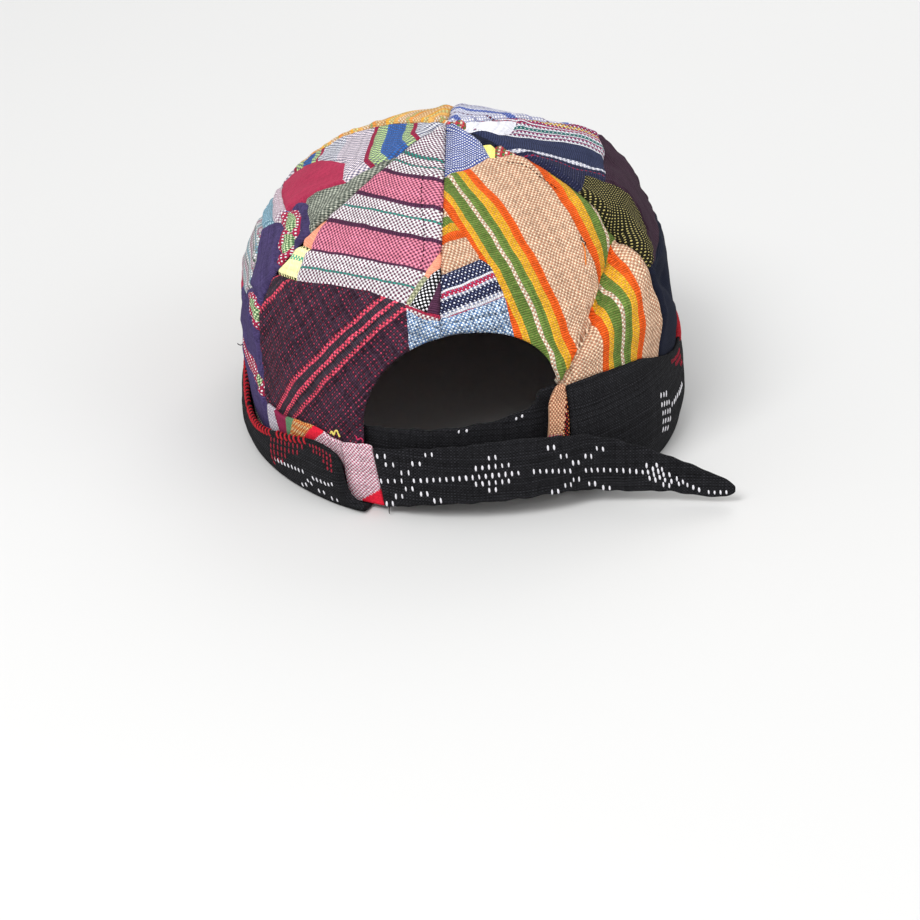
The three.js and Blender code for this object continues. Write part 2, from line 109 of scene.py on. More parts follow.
# Folds of the crown: path as (turn, share of the height), width as a share of HALF_WIDTH, depth of
# CROWN_HEIGHT
FOLDS = [
    (((54, 0.77), (42, 0.675), (25, 0.52)), 0.075, -0.036),
    (((60, 0.68), (45, 0.6), (27, 0.49)), 0.11, 0.036),
    (((62, 0.62), (70, 0.54), (82, 0.46)), 0.07, -0.026),
    (((48, 0.5), (60, 0.48), (71, 0.43)), 0.13, 0.034),
    (((62, 0.79), (61, 0.74), (62, 0.69)), 0.16, 0.02),
    (((-72, 0.36), (-62, 0.34), (-52, 0.32)), 0.1, -0.012),
    (((-100, 0.5), (-92, 0.58), (-84, 0.66)), 0.12, 0.014),
]
# Finer creases that the cloth takes over those folds: path, width and depth in millimetres
CREASES = [
    (((56, 0.755), (51, 0.73), (46, 0.69), (39.5, 0.63), (31, 0.54), (25, 0.46), (22, 0.4)), 1.7, -2.6),
    (((50, 0.76), (45, 0.73), (40, 0.69), (34, 0.63), (27, 0.55), (22, 0.49)), 4.5, 1.7),
    (((30, 0.6), (24, 0.52), (20, 0.45)), 2.4, -0.9),
    (((63, 0.6), (71, 0.53), (80, 0.45)), 2.0, -1.6),
    (((36, 0.5), (31, 0.45), (24, 0.39)), 1.8, -1.3),
    (((44, 0.5), (41, 0.45), (36, 0.41)), 1.8, -1.0),
    (((-26, 0.5), (-31, 0.4), (-37, 0.32)), 3.2, -0.8),
    (((-44, 0.5), (-49, 0.4), (-51, 0.3)), 3.6, 0.7),
    (((8, 0.93), (22, 0.86), (33, 0.8)), 5.0, 0.6),
    (((70, 0.9), (88, 0.86), (101, 0.8)), 4.0, -0.9),
    (((-64, 0.88), (-80, 0.84), (-95, 0.77)), 4.0, -0.8),
    (((74, 0.52), (74, 0.46), (75, 0.4)), 8.0, -2.0),
]
# The cuff: its height and lift as shares of CUFF_HEIGHT, and the layers of facing that it leaves room for
CUFF_COLUMNS = ("turn", "height", "lift", "room")
CUFF = np.array([
    (26, 1.15, 0.19, 0.3),
    (36, 1.2, 0.12, 0.3),
    (46, 1.16, 0.04, 0.3),
    (55, 1.12, 0, 0.3),
    (75, 1.03, 0, 0.3),
    (95, 0.98, 0, 0.3),
    (130, 0.9, 0, 0.4),
    (180, 0.75, 0, 0.4),
    (230, 0.58, 0, 0.6),
    (270, 0.42, 0, 0.9),
    (285, 0.33, 0, 1.1),
    (300, 0.33, 0, 1.25),
    (312, 0.4, 0, 1.25),
    (321, 0.48, 0, 1.35),
    (326, 0.45, 0, 1.5),
    (331, 0.32, 0, 1.8),
    (337, 0.16, 0, 2.1),
])

# How far the crown is sampled to each side for a direction, and how near the top
TURN_REACH = 0.4
CLIMB_REACH = 0.004
LAST_CLIMB = 0.996


def spread(*values):
    """Arrays of one shape."""
    return np.broadcast_arrays(*(np.asarray(value, float) for value in values))


def joined(*columns):
    return np.stack(columns, axis=-1)


def unit(vectors):
    return vectors / np.linalg.norm(vectors, axis=-1, keepdims=True)


def aside(along):
    """The level direction square to one."""
    return joined(along[..., 1], -along[..., 0], 0 * along[..., 0])


def bell(distance, width):
    return np.exp(-(distance / width) ** 2)


def ease(value, low, high):
    t = np.clip((value - low) / (high - low), 0, 1)
    return t * t * (3 - 2 * t)


def run_length(points):
    """Distance along a line to each of its points."""
    return np.concatenate([[0], np.cumsum(np.linalg.norm(np.diff(points, axis=0), axis=1))])


def smooth_at(keys, values, at):
    """Smooth value of a column at a place on its key column."""
    keys, values = np.asarray(keys, float), np.asarray(values, float)
    at = np.clip(np.asarray(at, float), keys[0], keys[-1])
    i = np.clip(np.searchsorted(keys, at, side="right") - 1, 0, len(keys) - 2)
    places = np.arange(len(keys))
    before, after = np.maximum(places - 1, 0), np.minimum(places + 1, len(keys) - 1)
    slope = (values[after] - values[before]) / (keys[after] - keys[before])
    step = keys[i + 1] - keys[i]
    t = (at - keys[i]) / step
    return ((2 * t**3 - 3 * t**2 + 1) * values[i] + (t**3 - 2 * t**2 + t) * step * slope[i]
            + (3 * t**2 - 2 * t**3) * values[i + 1] + (t**3 - t**2) * step * slope[i + 1])


def smooth_line(places, count):
    """A smooth line of count places through a few."""
    places = np.asarray(places, float)
    keys = np.arange(len(places))
    at = np.linspace(0, len(places) - 1, count)
    return joined(*(smooth_at(keys, column, at) for column in places.T))


def line_distance(points, line):
    """Distance from points to a line of points, and how far along it the nearest place is."""
    flat = points.reshape(-1, line.shape[-1])
    best = np.full(len(flat), 1e9)
    along = np.zeros(len(flat))
    reached = 0.0
    for start, end in zip(line[:-1], line[1:]):
        run = end - start
        length = max(np.linalg.norm(run), 1e-9)
        t = np.clip((flat - start) @ run / length**2, 0, 1)
        distance = np.linalg.norm(flat - start - t[:, None] * run, axis=1)
        nearer = distance < best
        best = np.where(nearer, distance, best)
        along = np.where(nearer, reached + t * length, along)
        reached += length
    return best.reshape(points.shape[:-1]), along.reshape(points.shape[:-1])


def ripple(points, length, seed):
    """Smooth seeded noise of about unit size, with waves near one length."""
    waves = 14
    draw = np.random.RandomState(seed)
    total = np.zeros(points.shape[:-1])
    for _ in range(waves):
        direction = draw.normal(size=points.shape[-1])
        direction /= np.linalg.norm(direction)
        span = length * draw.uniform(0.7, 1.5)
        total += np.sin(points @ direction * (2 * math.pi / span) + draw.uniform(0, 2 * math.pi))
    return total / math.sqrt(waves)


def section(column, climb):
    return smooth_at(SECTIONS[:, 0], SECTIONS[:, SECTION_COLUMNS.index(column)], climb)


def smooth_crown(turn, climb):
    """The crown's outer face before its folds."""
    turn, climb = spread(turn, climb)
    sine, cosine = np.sin(np.radians(turn)), np.cos(np.radians(turn))
    height = section("height", climb)
    side = np.where(sine < 0, section("left", climb), section("right", climb))
    end = np.where(cosine > 0, section("back", climb), section("front", climb))
    across = np.abs(sine / (np.maximum(side, 1e-6) * HALF_WIDTH)) ** ROUNDNESS
    along = np.abs(cosine / (np.maximum(end, 1e-6) * HALF_LENGTH)) ** ROUNDNESS
    half = 180 / PANEL_COUNT
    in_panel = np.mod(turn - FACET_TURN, 2 * half) - half
    straight = math.cos(math.radians(half)) / np.cos(np.radians(in_panel))
    radius = (across + along) ** (-1 / ROUNDNESS) * (1 - section("facet", climb) * (1 - straight))
    lean = np.clip((height - LEAN_FROM) / (1 - LEAN_FROM), 0, 1) ** LEAN_POWER
    return joined(radius * sine + APEX_SHIFT * lean, -radius * cosine, height * CROWN_HEIGHT)


def outward(surface, turn, climb):
    """A surface's outward normal."""
    turn, climb = spread(turn, climb)
    middle = np.minimum(climb, LAST_CLIMB)
    above, below = np.minimum(climb + CLIMB_REACH, LAST_CLIMB), np.maximum(climb - CLIMB_REACH, 0)
    along = surface(turn + TURN_REACH, middle) - surface(turn - TURN_REACH, middle)
    return unit(np.cross(along, surface(turn, above) - surface(turn, below)))


FINE_CLIMB = np.linspace(0, 1, 2001)
FINE_HEIGHT = section("height", FINE_CLIMB) * CROWN_HEIGHT


def climb_at(height):
    return np.interp(height, FINE_HEIGHT, FINE_CLIMB)


def fold_line(path):
    """A smooth line through places on the smooth crown."""
    turns, shares = smooth_line(path, 8 * (len(path) - 1) + 1).T
    return smooth_crown(turns, climb_at(shares * CROWN_HEIGHT))


FOLD_LINES = [(fold_line(path), width * HALF_WIDTH, depth * CROWN_HEIGHT) for path, width, depth in FOLDS]
CREASE_LINES = [(fold_line(path), width, depth) for path, width, depth in CREASES]


def lift_of(points, lines):
    return sum(depth * bell(line_distance(points, line)[0], width) for line, width, depth in lines)


def crown(turn, climb):
    """The crown's outer face with its folds."""
    point = smooth_crown(turn, climb)
    return point + outward(smooth_crown, turn, climb) * lift_of(point, FOLD_LINES)[..., None]


def seam_turn(name, climb):
    return smooth_at(SEAM_SHARES, SEAMS[name], section("height", climb))


def cuff_at(column, turn):
    """A column of the cuff's table, run on across the opening."""
    around = np.mod(np.asarray(turn, float), 360)
    values = CUFF[:, CUFF_COLUMNS.index(column)]
    first, last = CUFF[0, 0], CUFF[-1, 0]
    across = np.mod(around - last, 360) / (360 + first - last)
    between = values[-1] + (values[0] - values[-1]) * across
    return np.where((around >= first) & (around <= last), smooth_at(CUFF[:, 0], values, around), between)


def cuff_room(turn):
    return LAYER_GAP + cuff_at("room", turn) * (FACING_CLOTH + LAYER_GAP)


def cuff_top(turn):
    return CUFF_HEIGHT * cuff_at("height", turn)


def cuff_lift(turn):
    return CUFF_HEIGHT * np.maximum(cuff_at("lift", turn), 0)


def beside_wall(turn, out, height):
    """Points beside the crown's wall: out millimetres outside its outer face, at a height."""
    climb = climb_at(height)
    along = crown(turn + 0.5, climb) - crown(turn - 0.5, climb)
    along[..., 2] = 0
    point = crown(turn, climb) + aside(unit(along)) * np.asarray(out)[..., None]
    point[..., 2] = height
    return point


def axis_shift():
    """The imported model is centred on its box, so the crown's own axis is found from the cuff's box."""
    turns = np.linspace(CUFF[0, 0], CUFF[-1, 0], 71)
    shares = np.array([0.12, 0.4, 0.7])[:, None]
    low = cuff_lift(turns)
    heights = low + (cuff_top(turns) - low) * shares
    out = cuff_room(turns) + CUFF_BOW * np.sin(np.pi * shares) + CUFF_CLOTH
    faces = beside_wall(np.broadcast_to(turns, heights.shape), out, heights)
    low_corner, high_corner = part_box("cuff")
    across = (low_corner.x + high_corner.x) / 2 / MM - (faces[..., 0].min() + faces[..., 0].max()) / 2
    return np.array([across, high_corner.y / MM - faces[..., 1].max(), 0.0])


SHIFT = axis_shift()


def placed(points):
    """Points of the hat in the row frame, in metres."""
    return (np.asarray(points) + SHIFT) * MM


def rgb(code):
    values = [int(code[i:i + 2], 16) / 255 for i in (0, 2, 4)]
    return tuple(((v + 0.055) / 1.055) ** 2.4 if v > 0.04045 else v / 12.92 for v in values)


class Graph:
    """A material's nodes."""

    def __init__(self, name):
        self.material = bpy.data.materials.new(name)
        self.material.use_nodes = True
        self.nodes = self.material.node_tree.nodes
        self.shader = self.nodes["Principled BSDF"]

    def give(self, socket, value):
        if isinstance(value, bpy.types.NodeSocket):
            self.material.node_tree.links.new(value, socket)
        else:
            socket.default_value = value

    def add(self, kind, inputs, **settings):
        node = self.nodes.new("ShaderNode" + kind)
        for key, value in settings.items():
            setattr(node, key, value)
        for key, value in inputs.items():
            self.give(node.inputs[key], value)
        return node.outputs

    def math(self, operation, a, b=0.0):
        return self.add("Math", {0: a, 1: b}, operation=operation)[0]

    def plus(self, a, b):
        return self.math("ADD", a, b)

    def minus(self, a, b):
        return self.math("SUBTRACT", a, b)

    def times(self, a, b):
        return self.math("MULTIPLY", a, b)

    def mix(self, factor, a, b, blend="MIX"):
        return self.add("Mix", {0: factor, 6: a, 7: b}, data_type="RGBA", blend_type=blend)[2]

    def shaded(self, colour, light):
        """A colour times a grey."""
        grey = self.add("CombineColor", {0: light, 1: light, 2: light})[0]
        return self.mix(1.0, colour, grey, "MULTIPLY")

    def step(self, value, low, high, to_low=0.0, to_high=1.0):
        limits = {0: value, 1: low, 2: high, 3: to_low, 4: to_high}
        return self.add("MapRange", limits, interpolation_type="SMOOTHSTEP")[0]

    def noise(self, where, scale, detail, dimensions="3D"):
        inputs = {"Vector": where, "Scale": scale, "Detail": detail}
        return self.add("TexNoise", inputs, noise_dimensions=dimensions)

    def ramp(self, value, bands):
        """Colour and cover of a repeat of bands, each (width, colour, cover) or (width, colour)."""
        whole = sum(band[0] for band in bands)
        where = self.math("FRACT", self.math("DIVIDE", value, whole))
        outputs = self.add("ValToRGB", {0: where})
        ramp = outputs[0].node.color_ramp
        ramp.interpolation = "CONSTANT"
        ramp.elements.remove(ramp.elements[1])
        start = 0.0
        for i, (width, colour, *cover) in enumerate(bands):
            element = ramp.elements[0] if i == 0 else ramp.elements.new(start / whole)
            element.color = (*rgb(colour), cover[0] if cover else 1)
            start += width
        ramp.elements[0].position = 0.0
        return outputs["Color"], outputs["Alpha"]

    def finish(self, colour, height, relief, rough=0.95):
        bump = self.add("Bump", {"Height": height, "Strength": 1.0, "Distance": relief * MM})
        values = {"Base Color": colour, "Roughness": rough, "Specular IOR Level": 0.04, "Sheen Weight": 0.02,
                  "Sheen Roughness": 0.5, "Normal": bump[0]}
        for key, value in values.items():
            self.give(self.shader.inputs[key], value)
        return self.material


# How far the yarns stray in millimetres, the size of that noise and of the slow fading, and the fading
WANDER = 0.6
WANDER_SCALE = 0.11
FADE_SCALE = 0.05
FADE = 0.25


# dark is how much painted shade darkens the weave where its yarns dip
def woven(name, warp, weft, pitch=0.85, relief=0.3, dark=0.52, uneven=0.2):
    """Handwoven cloth. warp is a repeat of bands across the yarns that run along U, each (width, colour,
    cover), where cover says how much of the face the warp takes, and weft holds (width, colour) for the
    yarns that run along V."""
    g = Graph(name)
    uv = g.add("UVMap", {}, uv_map="weave")[0]
    place = g.add("SeparateXYZ", {0: uv})
    off = g.add("SeparateXYZ", {0: g.noise(uv, WANDER_SCALE, 2.0, "2D")["Color"]})
    u, v = (g.plus(place[axis], g.times(g.minus(off[axis], 0.5), 2 * WANDER)) for axis in (0, 1))
    row, column = (g.math("FLOOR", g.math("DIVIDE", at, pitch)) for at in (v, u))
    warp_colour, cover = g.ramp(g.times(g.plus(row, 0.5), pitch), warp)
    weft_colour, _ = g.ramp(g.times(g.plus(column, 0.5), pitch), weft)
    wave_u, wave_v = (g.math("SINE", g.times(at, math.pi / pitch)) for at in (u, v))
    over = g.times(wave_u, wave_v)
    on_top = g.step(g.minus(over, g.minus(1.0, g.times(cover, 2.0))), -0.1, 0.1)
    ribbed = g.step(cover, 0.86, 0.93)
    plain_high, rib_high = g.math("ABSOLUTE", over), g.math("ABSOLUTE", wave_u)
    high = g.plus(g.times(plain_high, g.minus(1.0, ribbed)), g.times(rib_high, ribbed))
    yarn_row = g.add("TexWhiteNoise", {"W": row}, noise_dimensions="1D")[0]
    yarn_column = g.add("TexWhiteNoise", {"W": column}, noise_dimensions="1D")[0]
    corner = g.add("CombineXYZ", {0: row, 1: column})[0]
    cell = g.add("TexWhiteNoise", {0: corner}, noise_dimensions="2D")[0]
    fade = g.noise(uv, FADE_SCALE, 3.0, "2D")[0]
    tone = 1.0 - 1.3 * uneven - FADE / 2
    for value, share in ((yarn_row, uneven), (yarn_column, uneven * 0.6), (cell, uneven), (fade, FADE)):
        tone = g.plus(tone, g.times(value, share))
    # Painted shade: the colour darkens by up to dark where the yarns dip (low bump height between yarns and
    # between ribs), times the yarns' random tone and slow fading
    light = g.times(g.step(high, 0.0, 0.62, 1 - dark, 1.0), tone)
    return g.finish(g.shaded(g.mix(on_top, weft_colour, warp_colour), light), high, relief)


# Bands of the warp are (width, colour, cover), and bands of the weft (width, colour)
CLOTHS = {
    "rose": dict(
        warp=[
            (1.0, "3f978a", .8), (5.7, "fffafd", .62), (1.4, "54304a", .97), (11.6, "ff98b2", .64),
            (1.4, "54304a", .97), (6.6, "fffafd", .62), (1.0, "3f978a", .8), (4.6, "fffafd", .62),
            (1.4, "54304a", .97), (12.4, "ff98b2", .64), (1.4, "54304a", .97), (4.2, "fffafd", .6),
            (0.9, "3f978a", .7), (4.4, "fffafd", .58), (0.9, "3f978a", .7), (17.0, "fbf6fa", .56),
            (8.0, "fffafd", .62),
        ],
        weft=[(1, "6c3450")], pitch=0.9,
    ),
    "sunset": dict(
        warp=[
            (1.4, "fff0d8", .66), (4.0, "6a843e", .97), (3.0, "eeb232", .88), (3.4, "e85e20", .97),
            (22.4, "ffdcbc", .6), (3.4, "e85e20", .97), (3.0, "eeb232", .88), (4.0, "6a843e", .97),
        ],
        weft=[(1, "bd8264")], uneven=0.3,
    ),
    "plum": dict(
        warp=[
            (1.6, "f85a72", .56), (2.4, "3c333d", .95), (1.6, "f85a72", .56), (2.4, "3c333d", .95),
            (1.6, "f85a72", .56), (30.4, "483040", .68), (1.6, "f85a72", .56), (3.9, "3c333d", .95),
            (1.6, "f85a72", .56), (40, "483040", .68),
        ],
        weft=[
            (.85, "3f3744"), (.85, "ae3c54"), (.85, "433a47"), (.85, "983850"), (.85, "3f3744"),
            (.85, "a23a52"), (.85, "3a333e"), (.85, "4a3044"),
        ],
        pitch=0.85, uneven=0.55,
    ),
    "dots": dict(warp=[(1, "17171b", .6)], weft=[(1, "fbfbff")], pitch=0.9),
    "plain_plum": dict(warp=[(1, "5c3650", .97)], weft=[(1, "2e1c2a")]),
    "salmon": dict(warp=[(1, "f8a284", .97)], weft=[(1, "ea8c6c")], relief=0.1, dark=0.3),
    "cream": dict(warp=[(1, "d8dab4", .6)], weft=[(1, "848c6c")]),
    "yellow": dict(
        warp=[
            (1.3, "1d1c16", .55), (6.6, "f8f2b4", .97), (1.3, "4fae8e", .6), (3.4, "f8f2b4", .97),
            (1.3, "1d1c16", .55), (30, "f8f2b4", .97),
        ],
        weft=[(1, "f4eeae")], relief=0.12, dark=0.2,
    ),
    "redwhite": dict(
        warp=[(0.85, "f8f0ec", .6), (1.7, "cc3a58", .8), (0.85, "f8f0ec", .6)], weft=[(1, "86284a")],
    ),
    "denim": dict(
        warp=[(1, "dfeaf6", .46)], weft=[(.8, "5a7cac"), (.8, "93b0d2"), (.8, "4a6a9a")], uneven=0.6,
        pitch=0.8,
    ),
    "bluecheck": dict(warp=[(1, "4a5aa8", .58)], weft=[(1, "e6eaf8")], pitch=0.8),
    "lemon": dict(warp=[(1, "f4ea84", .97)], weft=[(1, "e6d86a")], relief=0.1, dark=0.2),
    "redbits": dict(
        warp=[(.85, "d84a58", .6), (.85, "fff0d8", .6), (.85, "5a8a4a", .6)], weft=[(1, "b83a44")],
    ),
    "navyband": dict(
        warp=[
            (1.2, "c03458", .8), (1.3, "f6f4fa", .6), (4.0, "2a2c4c", .76), (1.3, "f6f4fa", .6),
            (1.2, "c03458", .8), (1.3, "f6f4fa", .6), (9.0, "2a2c4c", .72), (1.3, "f6f4fa", .5),
        ],
        weft=[(.85, "eceffa"), (.85, "7a84a4")],
    ),
    "fiesta": dict(
        warp=[
            (2.4, "ebecf6", .7), (14.0, "333955", 1.05), (1.5, "f4f6fc", .6), (1.8, "9a2c60", .6),
            (1.4, "f4f6fc", .6), (1.6, "9a2c60", .6), (1.0, "f4f6fc", .6), (2.8, "207a70", .7),
            (1.2, "f4f6fc", .6), (1.8, "ae2a5a", .7), (1.0, "f0e8f0", .6), (1.8, "ae2a5a", .7),
            (2.6, "eabf58", .6), (3.2, "9c2a56", .7), (7.0, "c8b2d8", .6), (24.0, "2a2c46", 1.0),
            (1.2, "a42c4c", .6), (2.6, "2a2c46", 1.0),
        ],
        weft=[(.85, "f0eef6"), (.85, "4a4e74")],
    ),
    "white": dict(warp=[(1, "dedee6", .97)], weft=[(1, "e4e6ee")], relief=0.12, dark=0.2),
    "olive": dict(warp=[(1, "26241a", .78)], weft=[(1, "b8ac6c")], pitch=0.8),
    "night_plum": dict(
        warp=[(1.2, "3c2836", .97), (1.2, "45303f", .97)], weft=[(1, "251a23")], pitch=0.6,
    ),
    "night_navy": dict(warp=[(1, "1f2334", .97)], weft=[(1, "151824")], pitch=0.6),
    "stripes": dict(
        warp=[
            (14.0, "fbeef6", .66), (14.0, "eff0f8", .66), (1.8, "a42848", .9), (3.6, "cdeaa4", .62),
            (8.1, "3f74c4", .66), (4.5, "cdeaa4", .62), (1.8, "a42848", .9),
        ],
        weft=[(1, "565878")], pitch=0.9,
    ),
    "moss": dict(warp=[(1, "b2b6a8", .62)], weft=[(1, "4e5850")], uneven=0.5, pitch=0.8),
    "berry": dict(warp=[(1, "ae3654", .97)], weft=[(1, "8c2c46")], pitch=0.5, dark=0.25, relief=0.1),
    "purple": dict(warp=[(1, "524674", .97)], weft=[(1, "372f50")], pitch=0.6, dark=0.45, uneven=0.35),
    "edge": dict(warp=[(1, "bc3056", .54)], weft=[(.8, "fdf6fa"), (.8, "bc3056")], pitch=0.8),
    "lime": dict(warp=[(1, "def4be", .54)], weft=[(1, "467a4c")], pitch=0.8),
    "pinkwhite": dict(warp=[(1, "fdf0f8", .64)], weft=[(1, "a07890")], pitch=0.9),
    "sky": dict(warp=[(1, "b4d8ea", .6)], weft=[(1, "5e94ac")], pitch=0.8),
    "fringe": dict(
        warp=[
            (1.6, "faf8fa", .6), (.8, "4c5c50", .6), (1.6, "ead2de", .6), (.8, "b86c86", .6),
            (1.6, "f0f4f8", .6), (1.6, "98c0d0", .6),
        ],
        weft=[(1, "9aa09e")], pitch=0.8,
    ),
    "lavender": dict(
        warp=[
            (4.0, "eaeaf6", .6), (0.9, "989abc", .7), (4.0, "f2f2fa", .6), (2.4, "5a6cb0", .9),
            (5.0, "ececf8", .6), (0.9, "6a2a40", .6),
        ],
        weft=[(1, "a4a8cc")],
    ),
    "amber": dict(
        warp=[
            (5.0, "fad6a0", .6), (2.0, "f6b444", .9), (2.0, "ece69a", .6), (3.2, "f6bc68", .9),
            (4.0, "fce6c4", .6), (1.2, "bcc680", .7), (2.2, "f4a050", .9),
        ],
        weft=[(1, "dc9a5c")],
    ),
    "navyplain": dict(
        warp=[(3.4, "2f3858", .95), (0.85, "e8eaf4", .6), (3.4, "2f3858", .95), (.85, "7c8cc4", .8)],
        weft=[(1, "1f2540")],
    ),
    "pinkcheck": dict(
        warp=[(1, "ffe6ef", .68)], weft=[(1, "b8305e")], pitch=0.76, dark=0.45, uneven=0.3,
    ),
    "redplain": dict(warp=[(1, "e8283e", .97)], weft=[(1, "b01c30")], pitch=0.5, dark=0.3, relief=0.1),
    "mustard": dict(
        warp=[(1.52, "f8b464", .56), (1.52, "f6e0a0", .56)], weft=[(1, "cc4a30")], pitch=0.76,
    ),
    "leaf": dict(warp=[(1, "6a9a72", .97)], weft=[(1, "42704c")], dark=0.35, pitch=0.6),
    "shell": dict(warp=[(.7, "f6f2f8", .8), (.7, "d8cede", .8)], weft=[(1, "9a8ca4")], pitch=0.7),
    "wine": dict(warp=[(1, "9e2c54", .97)], weft=[(1, "6c2040")], pitch=0.6),
    "black": dict(
        warp=[(0.6, "28282b", .74), (0.6, "323236", .72)], weft=[(1, "121214")], pitch=0.6, relief=0.3,
        uneven=0.5,
    ),
    "hem": dict(warp=[(1, "fac6a0", .58)], weft=[(1, "a8664a")]),
    "hemred": dict(warp=[(1, "b82a52", .5)], weft=[(1, "f0c4c4")]),
    # Painted shadow: the hem's fold in shade, as near-black cloth with its weft's red and orange dots
    "hem_painted_shadow": dict(warp=[(1, "231316", .6)], weft=[(1.7, "a8342e"), (.85, "d8864e")]),
}
made_cloths = {}


def cloth(name):
    if name not in made_cloths:
        made_cloths[name] = woven("cloth_" + name, **CLOTHS[name])
    return made_cloths[name]


def mesh_object(name, points, faces, materials, face_material=None, uvs=None):
    """A smooth mesh object in the row frame, from points in metres."""
    mesh = bpy.data.meshes.new(name)
    mesh.from_pydata([tuple(point) for point in points], [], [tuple(face) for face in faces])
    for material in materials:
        mesh.materials.append(material)
    if face_material is not None:
        mesh.polygons.foreach_set("material_index", np.asarray(face_material, np.int32))
    if uvs is not None:
        layer = mesh.uv_layers.new(name="weave")
        layer.data.foreach_set("uv", np.asarray(uvs, np.float32).ravel())
    mesh.polygons.foreach_set("use_smooth", np.full(len(mesh.polygons), True))
    mesh.update()
    item = bpy.data.objects.new(name, mesh)
    bpy.context.scene.collection.objects.link(item)
    return item


def trim(item):
    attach(item, "root")


def finished(item, node, slot, flat, held, rests_on=(), **more):
    trim(item)
    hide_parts(node)


class Gore:
    """One crown panel laid flat: x runs across it and y up it, in millimetres."""

    def __init__(self, seam, next_seam):
        self.climb = np.linspace(0, 1, 401)
        self.low = seam_turn(seam, self.climb)
        span = np.mod(seam_turn(next_seam, self.climb) - self.low, 360)
        self.high = self.low + span
        self.middle = float(np.interp(0.45, self.climb, self.low + span / 2))
        self.rate = np.zeros_like(self.climb)
        shares = (0.1, 0.3, 0.5, 0.7, 0.9)
        for share in shares:
            turn = self.low + span * share
            step = smooth_crown(turn + 0.5, self.climb) - smooth_crown(turn - 0.5, self.climb)
            self.rate += np.linalg.norm(step, axis=-1) / len(shares)
        self.rise = run_length(smooth_crown(self.middle, self.climb))

    def flat(self, turn, climb):
        away = np.mod(np.asarray(turn, float) - self.middle + 180, 360) - 180
        across = away * np.interp(climb, self.climb, self.rate)
        return joined(across, np.interp(climb, self.climb, self.rise))

    def of(self, places):
        """Flat places of (turn, share of the height) pairs."""
        turns, shares = np.array(places, float).T
        return self.flat(turns, climb_at(shares * CROWN_HEIGHT))

    def back(self, places):
        """Turns and climbs of flat places."""
        climb = np.interp(places[..., 1], self.rise, self.climb)
        rate = np.maximum(np.interp(climb, self.climb, self.rate), 1e-4)
        return self.middle + places[..., 0] / rate, climb

    def outline(self):
        """The gore's edge, and its two sides alone."""
        climb = np.linspace(0, 0.998, 260)
        turns = [np.interp(climb, self.climb, side) for side in (self.low, self.high)]
        foot_turn = np.linspace(turns[0][0], turns[1][0], 80)
        foot_climb = climb_at(cuff_lift(foot_turn) + CUFF_CLOTH + LAYER_GAP + FOOT_GAP)
        sides = []
        for turn, foot in zip(turns, (foot_climb[0], foot_climb[-1])):
            above = climb > foot
            sides.append(self.flat(turn[above], climb[above]))
        foot = self.flat(foot_turn, foot_climb)
        return np.concatenate([foot, sides[1], sides[0][::-1]]), sides


def arch_line():
    """The edge of the opening as turns and climbs."""
    angle = np.linspace(0, math.pi / 2, 50)
    down = np.linspace(OPENING_SPRING - 1, 0, 30)

    def side(half, bend):
        height = OPENING_SPRING + (OPENING_TOP - OPENING_SPRING) * np.sin(angle) ** (2 / bend)
        arc = joined(half * np.cos(angle) ** (2 / bend), height)
        return np.concatenate([joined(0 * down + half, down)[::-1], arc])

    right = side(OPENING_HALF_RIGHT, OPENING_BEND_RIGHT)
    left = side(-OPENING_HALF_LEFT, OPENING_BEND_LEFT)[::-1]
    outline = np.concatenate([right, left[1:]])
    climb = climb_at(outline[:, 1])
    low, high = np.full(len(outline), -45.0), np.full(len(outline), 45.0)
    for _ in range(24):
        middle = (low + high) / 2
        short = crown(middle, climb)[:, 0] < outline[:, 0]
        low, high = np.where(short, middle, low), np.where(short, high, middle)
    return low, climb


ARCH_TURN, ARCH_CLIMB = arch_line()


def within(points, corners):
    """Which points lie in a polygon."""
    x, y = points[:, 0], points[:, 1]
    inside = np.zeros(len(points), bool)
    for (ax, ay), (bx, by) in zip(corners, np.roll(corners, -1, axis=0)):
        if ay != by:
            inside ^= ((ay > y) != (by > y)) & (x < (bx - ax) * (y - ay) / (by - ay) + ax)
    return inside


def spaced(corners, closed):
    """Points along a line of corners, about GRID apart."""
    ends = np.roll(corners, -1, axis=0) if closed else corners[1:]
    out = []
    for a, b in zip(corners, ends):
        count = max(int(round(np.linalg.norm(b - a) / GRID)), 1)
        out.append(a + (b - a) * np.linspace(0, 1, count, endpoint=False)[:, None])
    if not closed:
        out.append(corners[-1:])
    return np.concatenate(out)


# Spacing of the panels' points, its rows as a share of it, and how near a point may lie to a line
GRID = 1.15
GRID_ROW = 0.866
GRID_CLEAR = 0.55
CHUNK = 64


def triangulate(outline, lines):
    """Flat points and triangles that fill an outline and keep the lines as edges."""
    low, high = outline.min(0), outline.max(0)
    grid = []
    for i, y in enumerate(np.arange(low[1], high[1], GRID * GRID_ROW)):
        x = np.arange(low[0] + (i % 2) * GRID / 2, high[0], GRID)
        grid.append(joined(x, np.full_like(x, y)))
    grid = np.concatenate(grid)
    grid = grid[within(grid, outline)]
    points, edges = [], []
    for line, closed in [(outline, True)] + lines:
        part = spaced(line, closed)
        for start in range(0, len(part), CHUNK):
            chunk = part[start:start + CHUNK]
            close = np.all((grid > chunk.min(0) - GRID) & (grid < chunk.max(0) + GRID), axis=1)
            if close.any():
                gap = np.linalg.norm(grid[close][:, None] - chunk[None], axis=-1).min(1)
                clear = ~close
                clear[close] = gap > GRID * GRID_CLEAR
                grid = grid[clear]
        base = len(points)
        points.extend(part)
        edges.extend((base + i, base + i + 1) for i in range(len(part) - 1))
        if closed:
            edges.append((base + len(part) - 1, base))
    points.extend(grid)
    flat, _, faces, *_ = delaunay_2d_cdt([Vector(point) for point in points], edges, [], 0, 1e-4, False)
    flat = np.array([tuple(point) for point in flat])
    faces = np.array([tuple(face) for face in faces if len(face) == 3])
    return flat, faces[within(flat[faces].mean(1), outline)]


